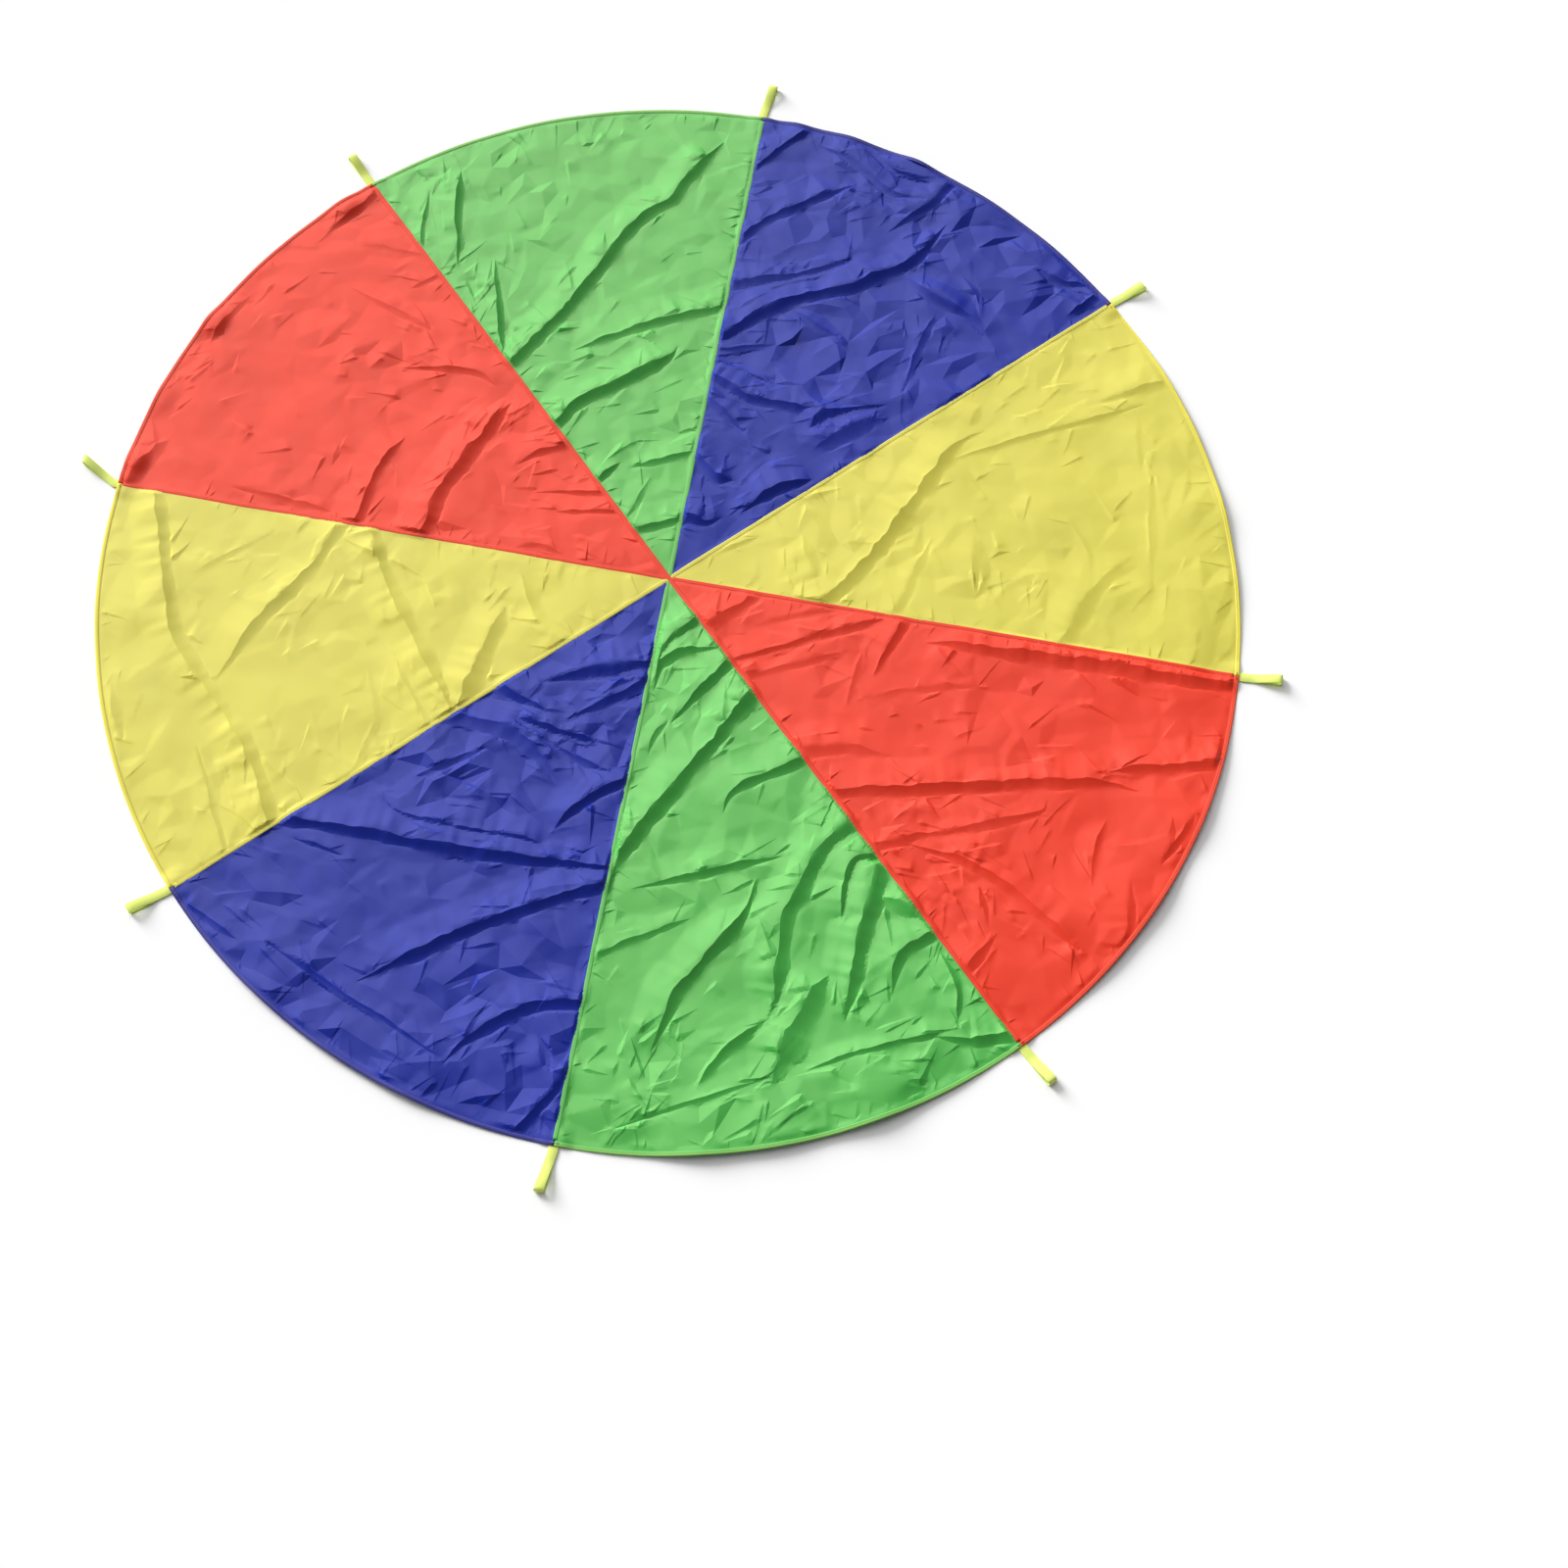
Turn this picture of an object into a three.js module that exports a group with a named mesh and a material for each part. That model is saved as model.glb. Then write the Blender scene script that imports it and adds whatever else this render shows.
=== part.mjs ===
// Play parachute lying open on the floor, in millimetres, with +Z up.
// Eight cloth gores are sewn into a disc by felled seams and finished with a turned hem.
// A webbing handle loop is sewn into the hem at the end of every seam.
// The origin is the centre of the disc, on the floor.
// The disc folds in half along the cross seam, which lies along X.

import * as THREE from 'three';

// Canopy sizes
const canopyRadius = 1000;
const clothThickness = 0.8;
const seamWidth = 8;
const seamThickness = 1.6;
const hemWidth = 10;
const hemThickness = 1.6;

// Handle sizes
const webWidth = 16;
const webThickness = 1.2;
const tailReach = 8; // stitched, stiff part of the strap that sticks out past the rim
const loopLength = 66;
const loopHeight = 12;
const throatLength = 12; // where the two layers of the loop lie together
const tackLength = 5;
const tackWidth = 2.5;
const tackHeight = 0.6;

// Clearances
const sewingGap = 0.3;
const tailMargin = 1; // the hem stays level this far past the side of a tail
const tailRamp = 25; // the hem comes down to the floor over this length

// How the cloth lies
const foldReach = 60; // a fold runs out to flat this far from its crest
const seamCalm = 45; // folds die away over this distance from a seam
const hemCalm = 45; // folds die away over this distance from the hem

// Mesh steps
const goreRows = 18;
const goreColumns = 14;
const loopSteps = 10;
const arcSteps = 8;

// Sideways shift of each handle's tip as it lies, counterclockwise, from handle 1 at +X
const tipShifts = [4, 6, -4, -9, -1, -36, -7, -10];

// Finish
const red = 0xf55a49;
const yellow = 0xe3db6c;
const blue = 0x3f4ca4;
const green = 0x7fc974;
const webColor = 0xe4f85a;
const threadColor = 0xd8ec62;
const seamColors = [red, red, yellow, green, red, red, yellow, green]; // the cloth that is lapped on top
const taffetaRoughness = 0.45;
const sewnRoughness = 0.5;
const threadRoughness = 0.6;
const webRoughness = 0.7;

// The gores, counterclockwise from +X. Each fold has its crest height and the points of its crest,
// as the distance from the centre and the degrees from the gore's first seam.
const gores = [
  {
    name: 'red_1',
    color: red,
    folds: [
      { height: 9, crest: [[500, 4], [660, 20], [860, 29], [940, 33]] },
      { height: 7, crest: [[400, 40], [390, 30], [390, 16]] },
      { height: 6, crest: [[200, 8], [340, 38]] },
      { height: 8, crest: [[630, 6], [770, 10], [920, 11]] },
      { height: 6, crest: [[590, 4], [660, 13], [750, 20]] },
    ],
  },
  {
    name: 'yellow_1',
    color: yellow,
    folds: [
      { height: 8, crest: [[300, 6], [400, 25], [550, 36], [660, 40]] },
      { height: 8, crest: [[580, 36], [710, 34], [940, 34]] },
      { height: 7, crest: [[720, 20], [750, 13], [740, 6]] },
      { height: 6, crest: [[550, 19], [540, 8]] },
    ],
  },
  {
    name: 'blue_1',
    color: blue,
    folds: [
      { height: 9, crest: [[590, 41], [630, 32], [740, 24], [870, 20]] },
      { height: 8, crest: [[380, 38], [420, 17], [490, 13], [520, 6]] },
      { height: 6, crest: [[250, 38], [340, 21]] },
      { height: 7, crest: [[950, 38], [930, 24]] },
      { height: 7, crest: [[570, 7], [730, 13]] },
    ],
  },
  {
    name: 'green_1',
    color: green,
    folds: [
      { height: 10, crest: [[530, 40], [590, 27], [750, 16], [900, 6]] },
      { height: 8, crest: [[370, 40], [380, 28], [460, 10]] },
      { height: 6, crest: [[510, 24], [550, 6]] },
      { height: 7, crest: [[930, 36], [770, 40]] },
    ],
  },
  {
    name: 'red_2',
    color: red,
    folds: [
      { height: 9, crest: [[450, 36], [440, 22], [460, 8]] },
      { height: 8, crest: [[570, 40], [540, 28]] },
      { height: 6, crest: [[290, 21], [220, 8]] },
      { height: 7, crest: [[650, 15], [530, 8]] },
      { height: 7, crest: [[780, 10], [640, 7]] },
    ],
  },
  {
    name: 'yellow_2',
    color: yellow,
    folds: [
      { height: 9, crest: [[910, 4], [890, 14], [850, 23], [800, 40]] },
      { height: 7, crest: [[800, 24], [700, 16], [580, 7]] },
      { height: 8, crest: [[520, 6], [470, 19], [430, 37]] },
      { height: 6, crest: [[270, 11], [250, 27], [230, 38]] },
    ],
  },
  {
    name: 'blue_2',
    color: blue,
    folds: [
      { height: 9, crest: [[780, 5], [660, 11], [590, 26], [540, 40]] },
      { height: 8, crest: [[900, 17], [800, 22], [680, 30], [580, 39]] },
      { height: 7, crest: [[910, 32], [840, 35], [760, 41]] },
      { height: 7, crest: [[380, 10], [380, 28], [380, 38]] },
    ],
  },
  {
    name: 'green_2',
    color: green,
    folds: [
      { height: 9, crest: [[520, 5], [390, 12], [280, 38]] },
      { height: 10, crest: [[770, 23], [670, 26], [600, 31], [550, 40]] },
      { height: 9, crest: [[820, 31], [730, 36], [670, 39]] },
      { height: 9, crest: [[820, 8], [660, 17], [580, 23]] },
      { height: 8, crest: [[890, 20], [810, 25], [760, 29]] },
    ],
  },
];

// Values that follow from the sizes
const goreAngle = (2 * Math.PI) / gores.length;
const seamSide = seamWidth / 2;
const goreSide = seamSide + sewingGap;
const goreRim = canopyRadius - hemWidth - sewingGap;
const tailThickness = 2 * webThickness;
const tailLift = tailThickness + sewingGap;
const tailSewn = hemWidth - sewingGap;
const levelEnd = webWidth / 2 + tailMargin;
const rampEnd = levelEnd + tailRamp;
const hingeRadius = canopyRadius + tailReach + sewingGap; // a loop turns on the top edge of its inner end

// Point in the plane of the floor
function polar(radius, angle) {
  return new THREE.Vector2(radius * Math.cos(angle), radius * Math.sin(angle));
}

// Distance from a point to a crest line
function crestDistance(point, crest) {
  let nearest = Infinity;
  for (let i = 1; i < crest.length; i += 1) {
    const start = crest[i - 1];
    const run = crest[i].clone().sub(start);
    const share = THREE.MathUtils.clamp(point.clone().sub(start).dot(run) / run.lengthSq(), 0, 1);
    nearest = Math.min(nearest, start.clone().addScaledVector(run, share).distanceTo(point));
  }
  return nearest;
}

// Height of the cloth above the floor inside a gore, from its folds
function foldHeight(point, crests, firstAngle) {
  const angle = Math.atan2(point.y, point.x) - firstAngle;
  const turn = THREE.MathUtils.euclideanModulo(angle, 2 * Math.PI);
  const fromSeam = point.length() * Math.sin(Math.min(turn, goreAngle - turn)) - goreSide;
  const fromHem = goreRim - point.length();
  const seamShare = THREE.MathUtils.smoothstep(fromSeam, 0, seamCalm);
  const hemShare = THREE.MathUtils.smoothstep(fromHem, 0, hemCalm);
  let height = 0;
  for (const fold of crests) {
    const away = Math.min(crestDistance(point, fold.crest) / foldReach, 1);
    height = Math.max(height, fold.height * Math.cos((away * Math.PI) / 2) ** 2);
  }
  return height * seamShare * hemShare;
}

// Height of the rim at a distance along it from the nearest seam: it passes over the sewn-in handle tails
function rimHeight(alongRim) {
  return tailLift * (1 - THREE.MathUtils.smoothstep(alongRim, levelEnd, rampEnd));
}

// Closed sheet over rows of underside points. Rows run outward, points in a row run counterclockwise,
// and a row of one point closes the sheet to a tip.
function sheet(rows, thickness) {
  const positions = [];
  const indices = [];
  const ids = rows.map((row) => row.map((point) => {
    positions.push(point.x, point.y, point.z, point.x, point.y, point.z + thickness);
    return positions.length / 6 - 1;
  }));
  const low = (id) => 2 * id;
  const high = (id) => 2 * id + 1;
  const face = (a, b, c) => {
    indices.push(high(a), high(b), high(c), low(a), low(c), low(b));
  };
  for (let i = 1; i < ids.length; i += 1) {
    const inner = ids[i - 1];
    const outer = ids[i];
    for (let j = 1; j < outer.length; j += 1) {
      const innerFirst = inner[Math.min(j - 1, inner.length - 1)];
      const innerNext = inner[Math.min(j, inner.length - 1)];
      face(innerFirst, outer[j - 1], outer[j]);
      if (innerFirst !== innerNext) {
        face(innerFirst, outer[j], innerNext);
      }
    }
  }
  const firstEdge = ids.map((row) => row[0]);
  const lastEdge = ids.map((row) => row[row.length - 1]).reverse();
  const outerEdge = ids[ids.length - 1];
  const innerEdge = ids[0].slice(1, -1).reverse();
  const edge = [...firstEdge, ...outerEdge.slice(1), ...lastEdge.slice(1), ...innerEdge];
  const ring = edge.filter((id, i) => id !== edge[(i + 1) % edge.length]);
  ring.forEach((id, i) => {
    const next = ring[(i + 1) % ring.length];
    indices.push(low(id), low(next), high(next), low(id), high(next), high(id));
  });
  const geometry = new THREE.BufferGeometry();
  geometry.setAttribute('position', new THREE.Float32BufferAttribute(positions, 3));
  geometry.setIndex(indices);
  geometry.computeVertexNormals();
  return geometry;
}

function namedMesh(name, geometry, color, roughness) {
  const material = new THREE.MeshStandardMaterial({ color, roughness, metalness: 0 });
  const mesh = new THREE.Mesh(geometry, material);
  mesh.name = name;
  return mesh;
}

// Distances along the rim, from the gore's first seam to its last, where the sheet has its lines
function rimStations() {
  const arc = goreRim * goreAngle;
  const plainSteps = goreColumns - 4;
  const stations = [goreSide, levelEnd];
  for (let i = 0; i <= plainSteps; i += 1) {
    stations.push(rampEnd + ((arc - 2 * rampEnd) * i) / plainSteps);
  }
  stations.push(arc - levelEnd, arc - goreSide);
  return stations;
}

function rimStationHeight(along) {
  return rimHeight(Math.min(along, goreRim * goreAngle - along));
}

function goreGeometry(index) {
  const firstAngle = index * goreAngle;
  const tip = polar(goreSide / Math.sin(goreAngle / 2), firstAngle + goreAngle / 2);
  const crests = gores[index].folds.map((fold) => ({
    height: fold.height,
    crest: fold.crest.map(([radius, degrees]) => polar(radius, firstAngle + THREE.MathUtils.degToRad(degrees))),
  }));
  const rows = [[new THREE.Vector3(tip.x, tip.y, 0)]];
  for (let i = 1; i <= goreRows; i += 1) {
    rows.push(rimStations().map((along) => {
      const point = tip.clone().lerp(polar(goreRim, firstAngle + along / goreRim), i / goreRows);
      const height = i === goreRows ? rimStationHeight(along) : foldHeight(point, crests, firstAngle);
      return new THREE.Vector3(point.x, point.y, height);
    }));
  }
  return sheet(rows, clothThickness);
}

function hemGeometry(index) {
  const firstAngle = index * goreAngle;
  const arc = goreRim * goreAngle;
  const stations = [sewingGap / 2, ...rimStations(), arc - sewingGap / 2];
  const row = (radius) => stations.map((along) => {
    const point = polar(radius, firstAngle + along / goreRim);
    return new THREE.Vector3(point.x, point.y, rimStationHeight(along));
  });
  return sheet([row(canopyRadius - hemWidth), row(canopyRadius)], hemThickness);
}

// Felled seam along +X: each place is a distance from the centre, a half width and a height
function seamGeometry(places) {
  const rows = places.map(({ along, side, height }) => [
    new THREE.Vector3(along, -side, height),
    new THREE.Vector3(along, side, height),
  ]);
  return sheet(rows, seamThickness);
}

function seamPlaces(start) {
  const places = [];
  for (let i = 0; i <= goreRows; i += 1) {
    const along = start + ((goreRim - start) * i) / goreRows;
    places.push({ along, side: seamSide, height: i === goreRows ? tailLift : 0 });
  }
  return places;
}

// A seam that ends against the cross seam, drawn in between its neighbours
function radialSeamGeometry(index) {
  const toCross = Math.abs(Math.sin(index * goreAngle));
  const lean = Math.abs(Math.cos(index * goreAngle));
  const start = (goreSide + seamSide * lean) / toCross;
  const halfGap = sewingGap / 2 / Math.cos(goreAngle / 2);
  const fullWidthAt = (seamSide + halfGap) / Math.tan(goreAngle / 2);
  if (start >= fullWidthAt) {
    return seamGeometry(seamPlaces(start));
  }
  const point = { along: start, side: start * Math.tan(goreAngle / 2) - halfGap, height: 0 };
  return seamGeometry([point, ...seamPlaces(fullWidthAt)]);
}

function crossSeamGeometry() {
  const half = seamPlaces(0);
  const mirrored = half.slice(1).reverse().map((place) => ({ ...place, along: -place.along }));
  return seamGeometry([...mirrored, ...half]);
}

// Sewn-in end of a handle strap: two layers of webbing under the hem
function tailGeometry() {
  const geometry = new THREE.BoxGeometry(tailSewn + tailReach, webWidth, tailThickness);
  geometry.translate((tailReach - tailSewn) / 2, 0, tailThickness / 2);
  return geometry;
}

// Height above the floor of the middle of a loop's upper layer
function upperLayer(along) {
  const crown = loopHeight - webThickness / 2;
  const rise = THREE.MathUtils.smoothstep(along, throatLength, loopLength - loopHeight / 2);
  return THREE.MathUtils.lerp(tailThickness - webThickness / 2, crown, rise);
}

// Side view of a handle loop, from its hinge outward: a flat lower layer, a round end and a rising upper layer
function loopShape() {
  const bend = loopLength - loopHeight / 2;
  const stepAt = (from, i) => from + ((bend - from) * i) / loopSteps;
  const outline = new THREE.Shape();
  outline.moveTo(0, tailThickness);
  outline.lineTo(0, 0);
  outline.absarc(bend, loopHeight / 2, loopHeight / 2, -Math.PI / 2, Math.PI / 2, false);
  for (let i = loopSteps - 1; i > 0; i -= 1) {
    const along = stepAt(0, i);
    outline.lineTo(along, upperLayer(along) + webThickness / 2);
  }
  const opening = new THREE.Path();
  opening.moveTo(throatLength, webThickness);
  for (let i = 1; i < loopSteps; i += 1) {
    const along = stepAt(throatLength, i);
    opening.lineTo(along, upperLayer(along) - webThickness / 2);
  }
  opening.absarc(bend, loopHeight / 2, loopHeight / 2 - webThickness, Math.PI / 2, -Math.PI / 2, true);
  outline.holes.push(opening);
  return outline;
}

// Handle loop along +X, whose tip lies to one side
function loopGeometry(tipShift) {
  const geometry = new THREE.ExtrudeGeometry(loopShape(), {
    depth: webWidth,
    steps: 1,
    curveSegments: arcSteps,
    bevelEnabled: false,
  });
  geometry.translate(0, 0, -webWidth / 2);
  geometry.rotateX(Math.PI / 2);
  geometry.applyMatrix4(new THREE.Matrix4().makeShear(tipShift / loopLength, 0, 0, 0, 0, 0));
  return geometry;
}

function tackGeometry(side) {
  const geometry = new THREE.BoxGeometry(tackWidth, tackLength, tackHeight);
  const seat = tailLift + hemThickness + sewingGap;
  geometry.translate(canopyRadius - hemWidth / 2, (side * webWidth) / 4, seat + tackHeight / 2);
  return geometry;
}

// Assembly
const parachute = new THREE.Group();
parachute.name = 'play_parachute';

gores.forEach((gore, index) => {
  parachute.add(namedMesh(`gore_${gore.name}`, goreGeometry(index), gore.color, taffetaRoughness));
  parachute.add(namedMesh(`hem_${gore.name}`, hemGeometry(index), gore.color, sewnRoughness));
});

parachute.add(namedMesh('cross_seam', crossSeamGeometry(), seamColors[0], sewnRoughness));

seamColors.forEach((seamColor, index) => {
  const number = index + 1;
  const spoke = new THREE.Group();
  spoke.rotation.z = index * goreAngle;
  if (index % (gores.length / 2) !== 0) {
    spoke.add(namedMesh(`seam_${number}`, radialSeamGeometry(index), seamColor, sewnRoughness));
  }
  const tail = namedMesh(`handle_tail_${number}`, tailGeometry(), webColor, webRoughness);
  tail.position.x = canopyRadius;
  const loop = namedMesh(`handle_loop_${number}`, loopGeometry(tipShifts[index]), webColor, webRoughness);
  loop.position.x = hingeRadius;
  spoke.add(tail, loop);
  spoke.add(namedMesh(`handle_tack_${number}_right`, tackGeometry(-1), threadColor, threadRoughness));
  spoke.add(namedMesh(`handle_tack_${number}_left`, tackGeometry(1), threadColor, threadRoughness));
  parachute.add(spoke);
});

export default parachute;
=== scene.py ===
import math
from dataclasses import dataclass

import bpy
import numpy as np
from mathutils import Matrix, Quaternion, Vector, kdtree
from mathutils.geometry import delaunay_2d_cdt


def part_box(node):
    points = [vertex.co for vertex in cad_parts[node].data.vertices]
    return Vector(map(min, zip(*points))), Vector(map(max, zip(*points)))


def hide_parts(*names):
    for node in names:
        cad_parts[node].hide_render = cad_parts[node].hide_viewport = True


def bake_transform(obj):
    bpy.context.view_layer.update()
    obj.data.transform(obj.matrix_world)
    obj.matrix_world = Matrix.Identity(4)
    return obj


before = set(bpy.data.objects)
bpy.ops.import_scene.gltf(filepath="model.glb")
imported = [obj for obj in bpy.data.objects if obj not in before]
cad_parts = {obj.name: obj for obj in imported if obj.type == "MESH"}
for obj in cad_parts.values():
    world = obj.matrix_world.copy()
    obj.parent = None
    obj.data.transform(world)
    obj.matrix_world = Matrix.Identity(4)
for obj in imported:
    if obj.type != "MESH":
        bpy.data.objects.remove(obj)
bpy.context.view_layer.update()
scene = bpy.context.scene

# Sizes of the disc and its handles, in metres
GORE_TURN = math.pi / 4
HEM_INNER = 0.9924
HEM_OUTER = 1.0
HEM_SEWN = 0.9947
HEM_GAP = 0.0001
HINGE_RADIUS = 1.0083
WEB_THICKNESS = 0.0012
LOOP_LENGTH = 0.066
LOOP_HEIGHT = 0.012
THROAT_LENGTH = 0.012
TIP_SHIFTS = [0.004, 0.006, -0.004, -0.009, -0.001, -0.036, -0.007, -0.010]
TAIL_LIFT = 0.0027

# The cloth ends under the seam strips and under the hem
GORE_EDGE = 0.0012
GORE_RIM = 0.9950
CLOTH_THICKNESS = 0.0005
CLOTH_REST = 0.0010
CLOTH_SLACK = 0.0020
WAVE_HEIGHT = 0.0009

# Height above which the cloth is held down, and the room above it
FREE_HEIGHT = 0.0100
TOP_ROOM = 0.0024

# Mesh steps of the cloth, and the bend at which an edge is drawn sharp
FINE_STEP = 0.0034
OPEN_STEP = 0.0043
FINE_BORDER = 0.030
FOLD_STEP = 0.0040
MERGE_CELL = 0.0008
SHARP_BEND = math.radians(8)

# Grid of a gore's points: half width, length and shake, and its distances from others in steps
GRID_HALF = 0.45
GRID_LENGTH = 1.02
GRID_SHAKE = 0.15
CREASE_CLEARANCE = 0.4
BORDER_CLEARANCE = 0.6
POINT_CLEARANCE = 0.55

# Direction of the light, which sets the shaded side of each fold
SUN_AZIMUTH = math.radians(190)
SUN_ELEVATION = math.radians(20)
TOWARDS_LIGHT = np.array([math.cos(SUN_AZIMUTH), math.sin(SUN_AZIMUTH)])

GORES = ["red_1", "yellow_1", "blue_1", "green_1", "red_2", "yellow_2", "blue_2", "green_2"]
SEAM_LAPS = ["red", "red", "yellow", "green", "red", "red", "yellow", "green"]

# Folds: shade's width in mm, steepness, then points in mm from the centre and degrees from the first seam
FOLDS = {}
FOLDS["red_1"] = [
    (19, 1.0, (500, 3), (785, 26.5), (880, 29)),
    (18, 1.0, (810, 29), (975, 34.5)),
    (14, 1.2, (630, 5), (760, 10), (945, 10.5)),
    (14, 0.7, (600, 1), (740, 19), (755, 22.5)),
    (16, 1.0, (420, 44), (395, 28.5)),
    (12, 0.5, (365, 34), (385, 18)),
    (21, 1.0, (465, 40.5), (810, 43), (975, 43.5)),
    (12, 0.9, (190, 0), (380, 43)),
    (12, 0.6, (230, 1), (365, 34.5)),
    (10, 0.5, (175, 26), (285, 42)),
    (18, 0.8, (120, 4), (155, 42)),
    (16, 0.6, (400, 1), (445, 9.5), (500, 14)),
    (10, 0.4, (395, 20.5), (465, 28.5), (580, 35)),
    (9, 0.9, (855, 24), (890, 17)),
    (10, 0.8, (985, 29), (970, 23)),
    (14, 0.7, (945, 19.5), (980, 16)),
    (14, 0.8, (835, 5.5), (850, 1)),
    (9, 0.7, (760, 8), (815, 5.5)),
]
FOLDS["yellow_1"] = [
    (21, 1.0, (280, 1), (380, 19.5), (565, 36.5), (640, 38)),
    (10, 0.9, (570, 35.5), (930, 32.5)),
    (14, 0.8, (845, 35), (985, 34)),
    (14, 0.6, (250, 29.5), (270, 10)),
    (9, 0.8, (105, 42), (175, 37)),
    (12, 0.5, (665, 42), (620, 39)),
    (10, 0.4, (910, 31), (880, 25)),
    (10, 0.4, (890, 23.5), (850, 9.5)),
    (24, 0.5, (710, 2.5), (750, 8.5), (815, 13.5)),
    (14, 0.5, (410, 3), (470, 20)),
    (10, 0.5, (720, 20), (750, 13), (740, 6)),
    (9, 0.4, (550, 19), (540, 8)),
]
FOLDS["blue_1"] = [
    (19, 1.0, (505, 43), (585, 36), (625, 32), (685, 25.5), (740, 23), (795, 20.5), (900, 20)),
    (18, 0.6, (615, 43), (650, 36), (695, 31), (740, 28)),
    (14, 0.8, (835, 25.5), (925, 23), (975, 22.5)),
    (14, 0.9, (965, 38), (945, 33.5), (910, 27.5), (930, 24)),
    (9, 0.8, (980, 31.5), (960, 29), (960, 27.5), (980, 23.5)),
    (14, 1.0, (960, 28.5), (975, 27), (980, 25)),
    (16, 0.8, (725, 44), (780, 40.5), (895, 32.5)),
    (10, 1.0, (890, 44), (970, 40.5)),
    (9, 0.9, (595, 32), (570, 21)),
    (16, 1.1, (765, 20.5), (755, 16), (770, 10), (765, 6)),
    (9, 0.9, (440, 41.5), (430, 30)),
    (18, 0.9, (395, 40), (385, 33), (415, 19.5), (440, 13), (525, 7)),
    (22, 0.9, (395, 15), (455, 13.5)),
    (14, 0.9, (355, 43), (320, 31)),
    (18, 1.0, (235, 41.5), (215, 33), (225, 25.5)),
    (16, 1.0, (120, 38.5), (125, 25), (150, 18.5)),
    (16, 1.2, (185, 11), (270, 6.5), (320, 3)),
    (14, 0.8, (940, 8), (955, 5), (975, 3.5)),
    (14, 1.0, (920, 1.5), (980, 1.5)),
    (12, 0.6, (475, 42), (510, 33.5)),
    (24, 0.5, (370, 10), (505, 5)),
    (9, 0.6, (830, 14), (820, 11), (790, 8.5)),
    (12, 0.5, (570, 7), (730, 13)),
]
FOLDS["green_1"] = [
    (19, 1.1, (925, 4), (835, 8), (790, 9.5), (765, 12.5), (705, 17.5), (575, 29.5), (525, 41)),
    (18, 1.0, (465, 8.5), (430, 12.5), (385, 34.5), (370, 41.5)),
    (14, 0.7, (550, 2.5), (510, 17), (490, 31)),
    (12, 1.0, (940, 35.5), (755, 42)),
    (12, 1.0, (730, 37), (565, 43)),
    (10, 0.7, (240, 6.5), (230, 28)),
    (12, 0.5, (200, 21), (140, 40)),
    (12, 0.8, (110, 4), (105, 41)),
    (8, 0.9, (925, 40), (850, 43.5)),
    (12, 1.0, (245, 32), (230, 42)),
]
FOLDS["red_2"] = [
    (21, 1.3, (450, 5.5), (435, 32), (435, 40)),
    (14, 1.3, (550, 25.5), (560, 34.5), (560, 43)),
    (12, 1.2, (645, 14.5), (550, 7), (500, 5)),
    (9, 0.7, (895, 5.5), (820, 1)),
    (9, 0.8, (760, 4.5), (755, 1.5)),
    (10, 0.9, (835, 10.5), (665, 6.5)),
    (12, 1.1, (320, 1), (340, 9), (350, 16)),
    (9, 1.2, (290, 20), (205, 3)),
    (8, 1.2, (240, 22.5), (160, 3)),
    (9, 0.8, (275, 43), (240, 41), (195, 42)),
    (12, 0.8, (795, 43), (610, 43.5)),
    (24, 0.8, (975, 43.5), (940, 39)),
    (14, 1.0, (955, 9), (970, 1)),
    (12, 0.8, (968, 26), (965, 19)),
]
FOLDS["yellow_2"] = [
    (19, 1.5, (915, 1.5), (865, 15.5), (830, 22.5), (780, 33.5), (795, 43.5)),
    (18, 1.0, (590, 2), (640, 11), (715, 17.5), (800, 24.5)),
    (19, 1.4, (515, 3.5), (490, 11), (435, 40.5)),
    (10, 0.6, (705, 3.5), (830, 10)),
    (28, 0.9, (285, 20.5), (395, 42.5)),
    (16, 1.0, (260, 8.5), (235, 27), (210, 42)),
    (14, 0.9, (500, 25), (485, 40)),
    (8, 1.1, (860, 32.5), (885, 43.5)),
    (10, 0.4, (550, 30), (560, 38), (615, 43)),
    (10, 0.4, (660, 33), (660, 38), (650, 41.5)),
    (10, 0.5, (510, 43), (445, 43)),
    (14, 0.8, (975, 22.5), (975, 28.5)),
    (10, 0.5, (185, 1), (195, 12)),
]
FOLDS["blue_2"] = [
    (16, 1.1, (780, 1), (715, 6), (625, 18), (545, 44)),
    (14, 0.8, (625, 5), (620, 11.5), (525, 39.5)),
    (16, 1.0, (880, 20.5), (715, 28.5), (620, 37), (575, 44)),
    (16, 0.9, (925, 32.5), (875, 34), (800, 39), (780, 42), (775, 44)),
    (14, 0.9, (360, 0.5), (330, 23)),
    (16, 1.0, (375, 10.5), (335, 33.5)),
    (14, 0.8, (375, 18.5), (390, 44)),
    (12, 1.1, (505, 32.5), (435, 37), (390, 43.5)),
    (23, 1.0, (290, 8), (175, 41.5)),
    (21, 0.6, (440, 3.5), (400, 12.5), (415, 28)),
    (10, 0.6, (560, 6.5), (450, 11)),
    (7, 0.9, (785, 3), (745, 8.5)),
    (7, 0.8, (930, 11), (920, 32.5)),
    (10, 0.7, (980, 4.5), (960, 8)),
    (14, 0.8, (975, 42), (915, 44)),
    (14, 0.7, (325, 22.5), (225, 38)),
    (12, 0.5, (840, 41), (880, 43)),
]
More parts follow.
